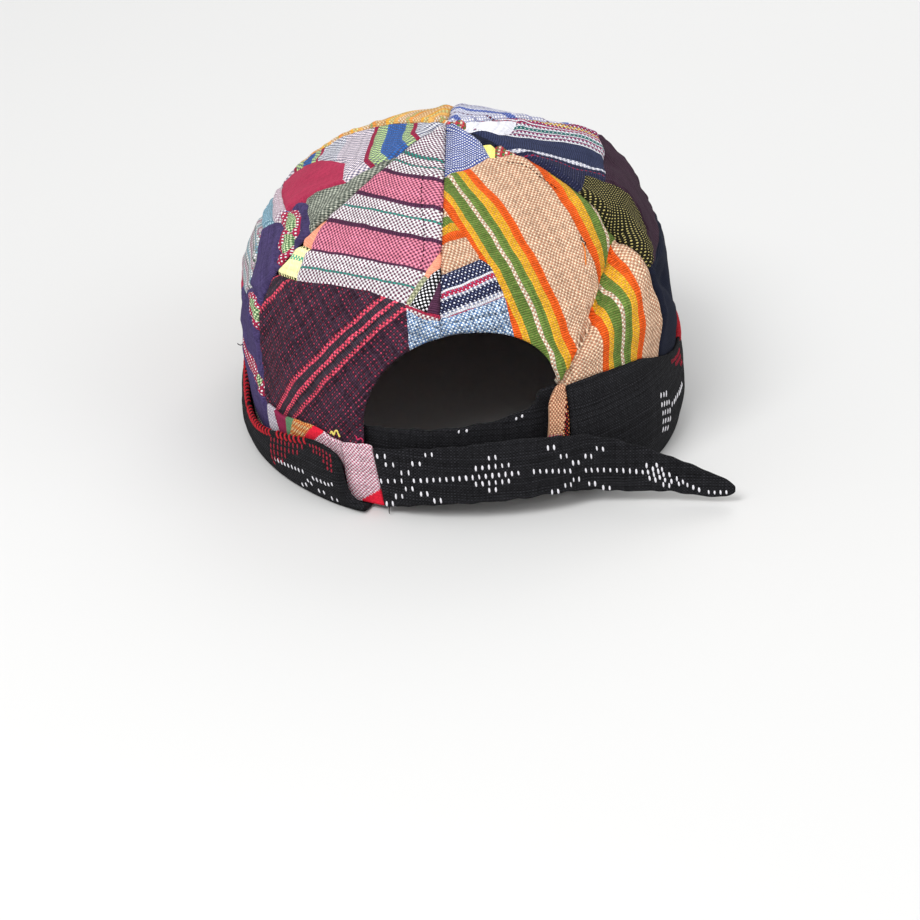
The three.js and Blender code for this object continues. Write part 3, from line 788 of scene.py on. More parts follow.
# Patches of each panel, which lies between two seams. A patch is its cloth, its corners as (turn, share of
# the height), its grain, the two places that a yarn runs through, and where the warp's repeat starts. The
# last cloth of a panel fills what is left.
PANELS = {
    "panel_back_left": (
        ("left_back", "back"),
        [
            ("salmon", [(-3, .808), (-8.3, .745), (-7.2, .741), (0, .79)], [(-7, .745), (-3.5, .8)], 0),
            (
                "cream", [(-8.3, .745), (-12.8, .672), (-11.8, .669), (-7.2, .741)],
                [(-12, .67), (-7, .745)], 0,
            ),
            (
                "dots", [(-3.2, .80), (-7.2, .741), (-11.8, .669), (-7.5, .655), (-3, .754), (3, .8)],
                [(-11.5, .669), (-7.5, .655)], 0,
            ),
            ("plain_plum", [(-3, .754), (-7.5, .655), (2, .648), (2, .76)], [(-7, .66), (-3, .75)], 0),
            (
                "redwhite",
                [(-13, .67), (-7.5, .656), (2, .649), (2, .636), (-8.5, .637), (-12.6, .657)],
                [(-12.5, .664), (-2.5, .642)], 1.4,
            ),
            (
                "denim", [(-12.6, .657), (-8.5, .637), (2, .636), (2, .5), (-11.5, .54)],
                [(-8.5, .6), (-3, .58)], 0,
            ),
            (
                "salmon", [(-51.5, .805), (-62, .77), (-56.5, .728), (-49.5, .732)],
                [(-52, .8), (-49.5, .732)], 0,
            ),
            (
                "yellow",
                [(-56.5, .728), (-49.5, .732), (-50, .717), (-48, .648), (-59.5, .632), (-72, .66)],
                [(-59.5, .634), (-48, .65)], 1.0,
            ),
            (
                "plum",
                [
                    (-12.6, .657), (-13, .67), (-17, .677), (-24, .688), (-36, .677), (-48, .648),
                    (-59.5, .632), (-75, .62), (-75, -.05), (2, -.05), (2, .5), (-11.5, .54),
                ],
                [(-48, .265), (-21, .667)], 10.3,
            ),
            ("rose", None, [(-50, .837), (-5, .848)], 24.7),
        ],
    ),
    "panel_back_right": (
        ("back", "right_back"),
        [
            (
                "bluecheck",
                [(-12, .936), (-3, .936), (33.5, .956), (41, .972), (60, .993), (0, 1), (-50, .99)],
                [(-2, .94), (-2, .985)], 0,
            ),
            ("lemon", [(41, .972), (47, .966), (36, .954), (33.5, .956)], [(36, .954), (47, .965)], 0),
            (
                "night_navy", [(41, .972), (47, .966), (60, .972), (60, .993)], [(41, .972), (60, .98)],
                0,
            ),
            (
                "redbits", [(47, .966), (58, .972), (58, .95), (43, .953), (36, .954)],
                [(36, .954), (47, .965)], 0,
            ),
            (
                "sunset", [(-12, .885), (-4, .885), (5, .828), (8, .779), (-2, .752), (-12, .752)],
                [(-3.5, .818), (5, .831)], 34.7,
            ),
            (
                "navyband",
                [
                    (-12, .752), (-2, .752), (8, .779), (10.5, .758), (12.5, .684), (-2, .644),
                    (-12, .644),
                ],
                [(-2, .701), (12, .735)], 8.3,
            ),
            (
                "denim", [(-12, .644), (-2, .644), (12.5, .684), (13, .594), (14, .48), (-12, .48)],
                [(-2, .6), (12, .62)], 0,
            ),
            (
                "sunset",
                [
                    (70, .77), (56, .759), (51, .737), (47, .701), (43.5, .677), (39.5, .638),
                    (35, .598), (31, .552), (25.5, .477), (21, .40), (14, .2), (14, -.05), (75, -.05),
                ],
                [(41, .6), (40.2, .411)], 0.7,
            ),
            ("sunset", None, [(1, .93), (18.5, .646)], 0.6),
        ],
    ),
    "panel_right": (
        ("right_back", "right_front"),
        [
            (
                "redbits", [(0, .9905), (50, .989), (118, .991), (118, 1.0), (0, 1.0)],
                [(10, .991), (90, .991)], 0,
            ),
            (
                "white",
                [(8, .99), (67, .985), (75, .972), (89, .965), (109, .961), (111, .979), (100, .995)],
                [(75, .97), (110, .965)], 0,
            ),
            (
                "olive",
                [
                    (40, .875), (54, .875), (67, .886), (70, .85), (76, .77), (78.5, .67), (62, .636),
                    (40, .636),
                ],
                [(56, .78), (76, .77)], 0,
            ),
            (
                "night_plum",
                [
                    (70, .85), (84.5, .858), (101.5, .853), (140, .85), (140, .56), (90, .585),
                    (62, .6), (62, .636), (78.5, .67), (76, .77),
                ],
                [(90, .4), (90, .8)], 0,
            ),
            (
                "night_navy",
                [
                    (140, .85), (140, -.05), (30, -.05), (30, .636), (62, .636), (62, .6), (90, .585),
                    (140, .56),
                ],
                [(90, .2), (90, .5)], 0,
            ),
            ("fiesta", None, [(49, .964), (78, .877)], 2.5),
        ],
    ),
    "panel_front_right": (
        ("right_front", "front"),
        [
            ("berry", [(110, .78), (135, .75), (140, .62), (105, .62)], [(115, .7), (135, .7)], 0),
            (
                "navyplain", [(100, .62), (140, .62), (190, .66), (190, .4), (150, .34), (100, .38)],
                [(120, .5), (170, .52)], 0,
            ),
            ("denim", [(100, .38), (150, .34), (150, -.05), (100, -.05)], [(120, .2), (120, .4)], 0),
            ("rose", [(150, .34), (190, .4), (190, -.05), (150, -.05)], [(155, .3), (170, .2)], 0),
            ("lavender", None, [(130, .86), (165, .9)], 0),
        ],
    ),
    "panel_front_left": (
        ("front", "left_front"),
        [
            ("olive", [(170, .8), (195, .78), (198, .62), (170, .6)], [(175, .7), (195, .7)], 0),
            ("purple", [(198, .66), (245, .7), (245, .44), (205, .4)], [(210, .5), (235, .55)], 0),
            ("bluecheck", [(170, .6), (198, .62), (205, .4), (170, .36)], [(175, .5), (200, .5)], 0),
            (
                "sunset", [(170, .36), (205, .4), (245, .44), (245, -.05), (170, -.05)],
                [(180, .2), (230, .25)], 0,
            ),
            ("amber", None, [(205, .8), (225, .84)], 0),
        ],
    ),
    "panel_left": (
        ("left_front", "left_back"),
        [
            (
                "moss",
                [
                    (-30, .985), (-39, .97), (-45, .957), (-54, .923), (-60.5, .88), (-74.2, .79),
                    (-67, .802), (-58, .777), (-54, .757), (-30, .8),
                ],
                [(-69, .79), (-45, .955)], 0,
            ),
            (
                "purple",
                [
                    (-74.2, .79), (-67, .802), (-58, .777), (-50, .75), (-50, .70), (-55, .70),
                    (-58.8, .722), (-59, .737), (-60.5, .754), (-62.5, .763), (-64.8, .779),
                    (-72.2, .773), (-78, .745),
                ],
                [(-57, .73), (-67, .8)], 0,
            ),
            (
                "berry",
                [
                    (-60.5, .88), (-81, .886), (-106.8, .82), (-118, .74), (-119, .66), (-79.5, .739),
                    (-72.2, .773), (-74.2, .79),
                ],
                [(-79, .735), (-63, .88)], 0,
            ),
            (
                "lime",
                [
                    (-75.5, .748), (-70, .762), (-65.5, .768), (-63, .754), (-63.5, .737),
                    (-67.5, .733), (-71.5, .734),
                ],
                [(-75, .75), (-64, .76)], 0,
            ),
            (
                "lime",
                [
                    (-65, .726), (-62.5, .737), (-60, .733), (-59, .724), (-58, .705), (-58.5, .690),
                    (-60.5, .684), (-62.8, .698), (-63.2, .71),
                ],
                [(-64, .726), (-60, .734)], 0,
            ),
            (
                "edge",
                [
                    (-78, .745), (-72.2, .773), (-64.8, .779), (-62.5, .763), (-60.5, .754),
                    (-59, .737), (-58.8, .722), (-55, .70), (-55, .66), (-60, .659), (-61.5, .684),
                    (-64.8, .69), (-65.8, .701), (-68.8, .726), (-76.2, .717), (-78.8, .722),
                ],
                [(-73, .77), (-60, .66)], 0,
            ),
            (
                "pinkwhite",
                [(-79.5, .739), (-78.8, .722), (-76.2, .717), (-79, .70), (-118, .63), (-119, .66)],
                [(-79, .71), (-110, .65)], 0,
            ),
            ("sky", [(-79, .70), (-118, .63), (-116, .57), (-84, .655)], [(-79, .69), (-110, .62)], 0),
            (
                "purple",
                [
                    (-76.2, .717), (-68.8, .726), (-65.8, .701), (-64.8, .69), (-61.5, .684),
                    (-60, .659), (-50, .65), (-50, .545), (-59.5, .545), (-64, .554), (-72, .527),
                    (-77.5, .60), (-84, .655), (-79, .70),
                ],
                [(-60, .6), (-76, .7)], 0,
            ),
            (
                "lime",
                [
                    (-68, .5), (-65.3, .526), (-62.6, .528), (-59.4, .512), (-57.8, .474),
                    (-60.3, .472), (-64, .486),
                ],
                [(-68, .5), (-64, .52)], 0,
            ),
            (
                "edge",
                [
                    (-70, .517), (-65.3, .543), (-61.5, .54), (-58.5, .522), (-50, .5), (-50, .44),
                    (-59.8, .44), (-63.3, .466), (-68.6, .485),
                ],
                [(-70, .52), (-61, .45)], 0,
            ),
            (
                "fringe",
                [
                    (-77.5, .60), (-72, .527), (-76, .47), (-90, .44), (-130, .5), (-130, .6),
                    (-116, .57), (-84, .655),
                ],
                [(-77, .6), (-90, .62)], 0,
            ),
            (
                "lime", [(-62.6, .266), (-61, .281), (-58.6, .271), (-58.4, .25), (-61.2, .246)],
                [(-62, .26), (-59, .26)], 0,
            ),
            (
                "edge",
                [
                    (-54, .225), (-57.8, .224), (-60.5, .232), (-64.3, .246), (-69.8, .249),
                    (-73.8, .265), (-82, .30), (-82, .33), (-73.3, .295), (-65.3, .302), (-61.3, .294),
                    (-57.8, .268), (-54, .24),
                ],
                [(-56, .237), (-73, .285)], 0,
            ),
            (
                "purple",
                [
                    (-50, .545), (-59.5, .545), (-64, .554), (-72, .527), (-76, .47), (-90, .44),
                    (-90, .1), (-40, .05), (-40, .545),
                ],
                [(-62, .2), (-64, .42)], 0,
            ),
            ("berry", [(-90, .44), (-130, .5), (-130, .28), (-90, .25)], [(-95, .3), (-115, .33)], 0),
            (
                "moss", [(-90, .25), (-130, .28), (-130, -.05), (-40, -.05), (-40, .05), (-90, .1)],
                [(-95, .1), (-115, .12)], 0,
            ),
            ("stripes", None, [(-56, .919), (-86, .926)], 0.0),
        ],
    ),
}
# The fold in the back right panel, where the upper cloth laps over the lower one
LAP = [
    (58, .762), (56, .759), (51, .737), (47, .701), (43.5, .677), (39.5, .638), (35, .598), (31, .552),
    (25.5, .477), (21, .40),
]
LAP_RISE = 1.1
LAP_FALL = 1.9
# The rose cloth's stripes bow up between their ends: how far per square millimetre, and where from
ROSE_BOW = 0.004
ROSE_BOW_MIDDLE = 6.0
# Where cloth is sewn: depth and width of the groove, then height, distance and width of the ridge beside it,
# and share, length and seed of the ridge's puckers
SEWN = {
    "seam": (0.85, 1.1, 0.65, 3.0, 2.0, 0.45, 7, 5),
    "patch": (0.55, 0.9, 0.22, 2.2, 1.4, 0.6, 6, 6),
    "arch": (0.5, 0.8, 0.7, 2.6, 2.2, 0.3, 12, 8),
}
# The stitched line round the arch: depth, distance and width
ARCH_STITCHING = (0.35, 5.6, 0.8)
PANEL_CLOTH = 1.7
FOOT_GAP = 0.3


def sewn_lift(flat, line, kind, free):
    """How far the cloth stands out beside a sewn line."""
    depth, groove, height, distance, width, share, length, seed = SEWN[kind]
    away, along = line_distance(flat, line)
    pucker = 1 + share * ripple(joined(along, 0 * along), length, seed)
    return free * height * pucker * bell(away - distance, width) - depth * bell(away, groove)


def lap_lift(flat, lap, lower):
    """The upper cloth stands over the lap and the lower one sinks under it."""
    away, along = line_distance(flat, lap)
    length = run_length(lap)[-1]
    strength = ease(along, 1, 14) * (1 - ease(along, length - 10, length))
    step = np.where(within(flat, lower), -LAP_FALL * bell(away, 4.5), LAP_RISE * bell(away, 6.0))
    return strength * step


# Turns, climbs and lifts of each panel's points
lifts = {}


def panel(name, pair, patches):
    gore = Gore(*pair)
    outline, sides = gore.outline()
    corners = [gore.of(places) for _, places, _, _ in patches[:-1]]
    lines = [(line, True) for line in corners]
    arch = gore.flat(ARCH_TURN, ARCH_CLIMB)
    at_back = "back" in pair
    if at_back:
        lines.append((arch, False))
    flat, faces = triangulate(outline, lines)
    if at_back:
        faces = faces[~within(flat[faces].mean(1), arch)]
    used, faces = np.unique(faces, return_inverse=True)
    flat, faces = flat[used], faces.reshape(-1, 3)
    turn, climb = gore.back(flat)
    base = crown(turn, climb)
    above = base[:, 2] - cuff_top(turn)
    free = ease(above, -1, 14)
    lift = free * (0.55 * ripple(base, 30, 3) + 0.22 * ripple(base, 11, 4))
    lift += lift_of(base, CREASE_LINES) * ease(above, -3, 6)
    for line in sides:
        lift += sewn_lift(flat, line[::4], "seam", free)
    for line in corners:
        lift += sewn_lift(flat, np.concatenate([line, line[:1]]), "patch", free)
    if at_back:
        depth, distance, width = ARCH_STITCHING
        lift += sewn_lift(flat, arch, "arch", 1.0)
        lift -= depth * bell(line_distance(flat, arch)[0] - distance, width)
    if name == "panel_back_right":
        lift += lap_lift(flat, gore.of(LAP), corners[-1])
    lifts[name] = (turn, climb, lift)
    points = base + outward(crown, turn, climb) * lift[:, None]
    triangles = flat[faces]
    chosen = np.full(len(faces), len(patches) - 1)
    for i in reversed(range(len(corners))):
        chosen[within(triangles.mean(1), corners[i])] = i
    names = list(dict.fromkeys(cloth_name for cloth_name, *_ in patches))
    uvs = np.zeros((len(faces), 3, 2))
    indices = np.zeros(len(faces), int)
    for i, (cloth_name, _, grain, offset) in enumerate(patches):
        mine = chosen == i
        start, end = gore.of(grain)
        run = unit(end - start)
        away = triangles[mine] - start
        across = away @ np.array([-run[1], run[0]]) + offset
        if name == "panel_back_left" and cloth_name == "rose":
            across += ROSE_BOW * (triangles[mine][..., 0] - ROSE_BOW_MIDDLE) ** 2
        uvs[mine] = joined(away @ run, across)
        indices[mine] = names.index(cloth_name)
    item = mesh_object(name + "_cloth", placed(points), faces, [cloth(n) for n in names], indices, uvs)
    solid = item.modifiers.new("cloth", "SOLIDIFY")
    solid.thickness = PANEL_CLOTH * MM
    solid.offset = -1
    solid.use_even_offset = False
    width, length = np.ptp(outline[:, 0]), np.ptp(outline[:, 1])
    a, b = triangles[:, 1] - triangles[:, 0], triangles[:, 2] - triangles[:, 0]
    area = np.abs(a[:, 0] * b[:, 1] - a[:, 1] * b[:, 0]).sum() / 2
    finished(item, name, name.replace("panel", "patch"), (width * MM, length * MM), "gathered",
             area=min(area, 0.999 * width * length) * MM * MM)


# Steps of a rounded edge, the place of the last full-thickness ring of a strip from its end, and how much
# of the thickness its two end rings have
ROUND_STEPS = 4
END_INSET = 0.35
END_THICKNESS = [0.45, 0.85]
# Radius at which turns are counted as millimetres
AROUND_RADIUS = 90.0


def cloth_ring(path, thickness):
    """Outline of a strip of cloth along a path of (out, height) places, with rounded edges."""
    run = unit(np.gradient(path, axis=0))
    side = joined(run[:, 1], -run[:, 0])
    half = np.broadcast_to(np.asarray(thickness, float) / 2, len(path))[:, None]
    angle = np.linspace(0, math.pi, ROUND_STEPS + 2)[1:-1, None]
    end = path[-1] + half[-1] * (np.cos(angle) * side[-1] + np.sin(angle) * run[-1])
    start = path[0] - half[0] * (np.cos(angle) * side[0] + np.sin(angle) * run[0])
    return np.concatenate([path + side * half, end, (path - side * half)[::-1], start])


def sweep(name, rings, lengths, materials, level, pick=None):
    """A closed piece of cloth through rings of points in the hat's millimetres. The weave's rows keep level
    at one place round the ring, and pick gives the number of the material at a station and a place."""
    stations, around = rings.shape[:2]
    faces, uvs, numbers = [], [], []
    v = np.stack([run_length(np.concatenate([ring, ring[:1]])) for ring in rings])
    v += (rings[:, level, 2] - v[:, level])[:, None]
    for i in range(stations - 1):
        for j in range(around):
            k = (j + 1) % around
            faces.append((i * around + j, (i + 1) * around + j, (i + 1) * around + k, i * around + k))
            corners = ((i, j), (i + 1, j), (i + 1, j + 1), (i, j + 1))
            uvs += [(lengths[at], v[at, place]) for at, place in corners]
            numbers.append(pick(i, j) if pick else 0)
    for station in (0, stations - 1):
        for j in range(around // 2 - 1):
            corners = (j, j + 1, around - 2 - j, around - 1 - j)
            if len(set(corners)) == 4:
                faces.append(tuple(station * around + corner for corner in corners))
                uvs += [(lengths[station], v[station, corner]) for corner in corners]
                numbers.append(pick(min(station, stations - 2), j) if pick else 0)
    item = mesh_object(name, placed(rings.reshape(-1, 3)), faces, materials, numbers, uvs)
    mesh = bmesh.new()
    mesh.from_mesh(item.data)
    bmesh.ops.recalc_face_normals(mesh, faces=mesh.faces)
    mesh.to_mesh(item.data)
    mesh.free()
    return item


def around_mm(turn):
    return np.radians(turn) * AROUND_RADIUS


def strip_places(first, last, inset, start, count):
    """Places from one end of a strip to the other, and how much of its thickness the cloth has at each."""
    middle = np.linspace(first + start, last - start, count)
    places = np.concatenate([[first, first + inset], middle, [last - inset, last]])
    return places, np.concatenate([END_THICKNESS, np.ones(count), END_THICKNESS[::-1]])


def turns_of(first, last, spacing):
    inset = math.degrees(END_INSET / AROUND_RADIUS)
    count = int(abs(around_mm(last) - around_mm(first)) / spacing)
    return strip_places(first, last, inset, 2.5 * inset, count)


def table(rows, keys):
    return {key: np.array([row[i] for row in rows], float) for i, key in enumerate(keys)}


def edge_at(edges, column, size, turn):
    """A strip's edge at a turn, from its column of shares of a size."""
    return size * smooth_at(edges["turn"], edges[column], turn)


# The cuff's upper edge as it shows: turn, and height as a share of CUFF_HEIGHT
CUFF_EDGE = table(
    [
        (22.8, 1.12), (26, 1.145), (30, 1.145), (36, 1.125), (41, 1.11), (46, 1.09), (50, 1.035),
        (55, 0.97), (60, 0.905), (65, 0.855), (70, 0.815), (75, 0.785), (82, 0.76), (90, 0.73),
        (100, 0.7), (115, 0.67), (135, 0.65), (180, 0.61), (230, 0.52), (262, 0.46), (270, 0.435),
        (278, 0.365), (286, 0.325), (294, 0.31), (300, 0.325), (306, 0.37), (309, 0.4), (312, 0.44),
        (316, 0.475), (320, 0.515), (324, 0.56), (327, 0.575), (329.5, 0.565), (331.5, 0.54),
        (333, 0.49), (333.9, 0.4), (334.3, 0.28), (335.4, 0.165), (337.2, 0.11), (339, 0.085),
    ],
    ("turn", "height"),
)
CUFF_ROWS = 46
CUFF_THIN = 1.25
CUFF_CORNER = 0.9
# The cuff's edge lies close to the crown up to a turn, and comes free over so many degrees
HUG_TO = 268.0
HUG_FADE = 42.0
HUG_GAP = 0.15


def cuff_edge(turn):
    return edge_at(CUFF_EDGE, "height", CUFF_HEIGHT, turn)


def cuff_span(turn):
    """Lower and upper end of the cuff's outer layer as it shows."""
    return cuff_lift(turn) + CUFF_CLOTH, cuff_edge(turn) - CUFF_THIN / 2


def cuff_thickness(share):
    return CUFF_CLOTH + (CUFF_THIN - CUFF_CLOTH) * share


def cuff_face(turn, share):
    """Middle of the cuff's outer layer, out of the crown's wall and up, at a share of the layer's rise."""
    turn, share = spread(turn, share)
    low, high = cuff_span(turn)
    room = cuff_room(np.clip(turn, CUFF[0, 0], CUFF[-1, 0]))
    hug = 1 - ease(turn, HUG_TO, HUG_TO + HUG_FADE)
    out = HUG_GAP + (room - HUG_GAP) * (1 - hug * ease(share, 0.1, 0.85))
    height = low + (high - low) * share
    place = joined(around_mm(turn), height * 0.6)
    soft = 0.3 * ripple(place, 26, 21) + 0.12 * ripple(place * [1, 0.6], 9, 22) + 0.3
    loose = ease(share, 0.05, 0.4) * (1 - ease(share, 0.6, 0.95))
    bow = CUFF_BOW * np.sin(np.pi * np.minimum(share * 1.15, 1.0))
    return out + bow + soft * loose + CUFF_THIN / 2 + (CUFF_CLOTH - CUFF_THIN) / 2 * (1 - share), height


def build_cuff():
    turns, thick = turns_of(CUFF_EDGE["turn"][0], CUFF_EDGE["turn"][-1], 1.1)
    share = np.linspace(0, 1, CUFF_ROWS)
    inside = -(CROWN_CLOTH + LAYER_GAP) - CUFF_CLOTH / 2
    quarter = math.pi / 2
    rings = []
    for turn, whole in zip(turns, thick):
        base, top = float(cuff_lift(turn)), float(cuff_edge(turn))
        face_out, face_height = cuff_face(turn, share)
        lip = base + min(CUFF_LIP, top - base) - CUFF_CLOTH / 2
        middle = base + CUFF_CLOTH / 2
        foot = float(face_out[0])
        path = [(inside, lip + (middle + CUFF_CORNER - lip) * t) for t in np.linspace(0, 1, 5)]
        path += [(inside + CUFF_CORNER * (1 - math.cos(a)), middle + CUFF_CORNER * (1 - math.sin(a)))
                 for a in np.linspace(0.3, quarter, 4)]
        path += [(inside + CUFF_CORNER + (foot - inside - 2 * CUFF_CORNER) * t, middle) for t in (0.33, 0.66)]
        path += [(foot - CUFF_CORNER * (1 - math.sin(a)), middle + CUFF_CORNER * (1 - math.cos(a)))
                 for a in np.linspace(0, quarter, 5)]
        path += list(zip(face_out[1:], face_height[1:]))
        below = len(path) - CUFF_ROWS + 1
        thickness = np.concatenate([np.full(below, CUFF_CLOTH), cuff_thickness(share[1:])])
        ring = cloth_ring(np.array(path, float), thickness * whole)
        rings.append(beside_wall(np.full(len(ring), turn), ring[:, 0], ring[:, 1]))
    rings = np.array(rings)
    item = sweep("cuff_cloth", rings, run_length(rings[:, CUFF_ROWS]), [cloth("black")], len(path) - 1)
    span = around_mm(turns[-1]) - around_mm(turns[0])
    finished(item, "cuff", "black_cloth", (0.04, span * MM), "folded", ["panel_left_cloth"])


# Edges of the strips at their turns, as shares of FACING_HEIGHT, HEM_HEIGHT and STRAP_WIDTH
FACING = table(
    [
        (307, 0.05, 0.93), (312, 0.05, 0.91), (316, 0.05, 0.93), (320, 0.05, 0.975), (324, 0.05, 0.99),
        (328, 0.05, 0.965), (331, 0.05, 0.915), (333.5, 0.05, 0.9), (336, 0.05, 0.92),
        (342.4, 0.05, 0.95),
    ],
    ("turn", "low", "high"),
)
HEM = table([(17.4, 0.84), (18.4, 0.92), (20, 0.97), (22.5, 0.98)], ("turn", "high"))
STRAP_INSIDE = table(
    [
        (-31, 0.36, 1.32), (-21, 0.36, 1.33), (-14, 0.36, 1.36), (-3, 0.36, 1.42), (8, 0.36, 1.53),
        (16.2, 0.36, 1.7), (17.8, 0.36, 1.88), (24, 0.36, 1.92), (31, 0.36, 1.9),
    ],
    ("turn", "low", "high"),
)
# The outer strap: its distance from the crown as a share of its cloth, and its edges. The free end's places
# are shares of its length.
STRAP_ON_CAP = table(
    [
        (-17.4, 0.75, 0.1, 1.08), (-8, 1.5, 0.24, 1.2), (0, 2.1, 0.3, 1.28), (9, 2.5, 0.33, 1.35),
        (18, 2.8, 0.34, 1.31), (26, 3.0, 0.26, 1.2),
    ],
    ("turn", "out", "low", "high"),
)
STRAP_FREE = table(
    [(0.28, 0.21, 1.03), (0.54, 0.2, 0.81), (0.78, 0.12, 0.58), (0.93, 0.12, 0.42), (1.0, 0.19, 0.31)],
    ("run", "low", "high"),
)


def band(name, edges, size, faces, low_at, seed, rows, spacing, measured, materials, slant=None, pick=None):
    """A strip of cloth against the crown, with its two faces at distances outside the crown's own. slant
    moves the turn of a point by its own turn and height. pick gives the number of the material from a turn,
    a height, and the heights of the strip's two edges there."""
    turns, thick = turns_of(edges["turn"][0], edges["turn"][-1], spacing)
    thickness = faces[1] - faces[0]
    low = low_at(turns) + thickness / 2
    high = edge_at(edges, "high", size, turns) - thickness / 2
    high = high + 0.25 * ripple(around_mm(turns)[:, None], 9, seed)
    heights = low[:, None] + (high - low)[:, None] * np.linspace(0, 1, rows)
    place = joined(around_mm(turns)[:, None] + 0 * heights, heights * 0.7)
    outs = sum(faces) / 2 + 0.14 * ripple(place, 13, seed + 1)
    rings = []
    for turn, whole, out, height in zip(turns, thick, outs, heights):
        ring = cloth_ring(joined(out, height), thickness * whole)
        at = np.full(len(ring), turn)
        if slant:
            at = at + slant(at, ring[:, 1])
        rings.append(beside_wall(at, ring[:, 0], ring[:, 1]))
    rings = np.array(rings)

    def choose(i, j):
        row = min(j, rows - 1) if j < rows + ROUND_STEPS else max(2 * rows + ROUND_STEPS - 1 - j, 0)
        return pick(turns[i], heights[i, row], heights[i, 0], heights[i, -1])

    return sweep(name, rings, run_length(rings[:, measured]), materials, rows - 1, choose if pick else None)


# Pieces of the facing from its left end: the turn where each one ends at its top and at its foot. The last
# one is the tip, which starts at a turn and rises from the foot.
FACING_PIECES = [
    ("shell", 310.6, 312.8), ("wine", 315.4, 315.4), ("leaf", 318.2, 316.4), ("mustard", 324.4, 321.0),
    ("redplain", 327.6, 324.6), ("pinkcheck", 400, 400), ("redplain", 401, 401),
]
FACING_SLANT = 2.7
FACING_COVERED_TO = 334
TIP_FROM = 337.0
TIP_RISE = 1.2
HEM_SLANT = 1.3


def build_facing():
    def low(turn):
        open_low = edge_at(FACING, "low", FACING_HEIGHT, turn)
        covered = np.where(turn <= FACING_COVERED_TO, cuff_edge(turn) - FACING_TUCK, open_low)
        return np.maximum(np.maximum(open_low, covered), CUFF_CLOTH + LAYER_GAP)

    def slant(turn, height):
        return -FACING_SLANT * ease(turn, 326, 342.4) * np.clip((height - 2) / 27, 0, 1)

    def pick(turn, height, foot, top):
        if turn > TIP_FROM and height < foot + TIP_RISE * (turn - TIP_FROM):
            return len(FACING_PIECES) - 1
        share = (height - foot) / max(top - foot, 1)
        return next(number for number, (_, top_turn, foot_turn) in enumerate(FACING_PIECES)
                    if turn < foot_turn + (top_turn - foot_turn) * share)

    materials = [cloth(name) for name, *_ in FACING_PIECES]
    faces = (LAYER_GAP, LAYER_GAP + FACING_CLOTH)
    item = band("facing_cloth", FACING, FACING_HEIGHT, faces, low, 31, 44, 0.5, 22, materials, slant, pick)
    finished(item, "facing_left", "facing_cloth", (0.02, 0.056), "gathered", ["panel_back_left_cloth"])


def build_hem():
    def low(turn):
        return cuff_lift(turn) + CUFF_CLOTH + LAYER_GAP

    def slant(turn, height):
        return HEM_SLANT * np.clip((height - 26) / 22, 0, 1) * np.clip((HEM["turn"][-1] - turn) / 4, 0, 1)

    def pick(turn, height, *_):
        # Past this turn the hem is drawn in painted shadow, where its fold lies in shade
        if turn > 20.4 + 0.1 * (height - 30) + 0.25 * math.sin(height * 2.1):
            return 2
        return int(height < 30.5 + 0.5 * math.sin(turn * 7))

    materials = [cloth(name) for name in ("hem", "hemred", "hem_painted_shadow")]
    faces = (LAYER_GAP, LAYER_GAP + HEM_CLOTH)
    item = band("hem_cloth", HEM, HEM_HEIGHT, faces, low, 41, 50, 0.4, 20, materials, slant, pick)
    finished(item, "hem_fold_right", "hem_cloth", (0.01, 0.044), "folded", ["panel_back_right_cloth"])


STRAP_INSIDE_OUT = -(CROWN_CLOTH + 2 * LAYER_GAP)


def build_inner_strap():
    def low(turn):
        over_lip = np.where(np.abs(turn) > HEM["turn"][0], cuff_lift(turn) + CUFF_LIP + LAYER_GAP, 0)
        return np.maximum(edge_at(STRAP_INSIDE, "low", STRAP_WIDTH, turn), over_lip)

    faces = (STRAP_INSIDE_OUT - STRAP_CLOTH, STRAP_INSIDE_OUT)
    item = band("strap_inner_cloth", STRAP_INSIDE, STRAP_WIDTH, faces, low, 51, 28, 0.9, 12, [cloth("black")])
    finished(item, "strap_inner", "black_cloth", (0.028, 0.097), "hung", ["panel_back_left_cloth"])


def strap_line():
    """The outer strap's run, and rows of its middle line in plan and its lower and upper edges."""
    out = STRAP_ON_CAP["out"] * STRAP_CLOTH
    on_cap = beside_wall(STRAP_ON_CAP["turn"], out, np.full(len(out), STRAP_WIDTH))[:, :2]
    heading = math.radians(FREE_END_HEADING)
    ahead = STRAP_FREE["run"] * FREE_END_LENGTH
    curl = FREE_END_CURL * STRAP_FREE["run"] ** 2
    free = on_cap[-1] + joined(ahead * math.cos(heading), ahead * math.sin(heading) - 2 * curl)
    line = np.concatenate([on_cap, free])
    edges = [STRAP_WIDTH * np.concatenate([STRAP_ON_CAP[side], STRAP_FREE[side]]) for side in ("low", "high")]
    return run_length(line), [*line.T, *edges]


STRAP_RUN, STRAP_LINES = strap_line()
STRAP_SLANT = 4.2
STRAP_SLANT_RUN = 14.0


def strap_at(run):
    """Middle point, direction, lower and upper edge of the outer strap at a run in millimetres."""
    run = np.asarray(run, float)

    def point(at):
        x, y = (smooth_at(STRAP_RUN, line, at) for line in STRAP_LINES[:2])
        return joined(x, y, 0 * x)

    ahead = point(np.minimum(run + 0.2, STRAP_RUN[-1])) - point(np.maximum(run - 0.2, 0))
    return point(run), unit(ahead), *(smooth_at(STRAP_RUN, line, run) for line in STRAP_LINES[2:])


def strap_slant(run, share):
    """How far the strap's slanted start leads back at a share of its width."""
    return STRAP_SLANT * np.clip(share, 0, 1) * np.clip(1 - np.asarray(run) / STRAP_SLANT_RUN, 0, 1)


def strap_face(run, share):
    """Point on the outer strap's outer face at a run and a share of its width, and its normal."""
    point, ahead, low, high = strap_at(run)
    normal = aside(ahead)
    place = point + normal * (STRAP_CLOTH / 2) - ahead * np.asarray(strap_slant(run, share))[..., None]
    place[..., 2] = low + (high - low) * share
    return place, normal


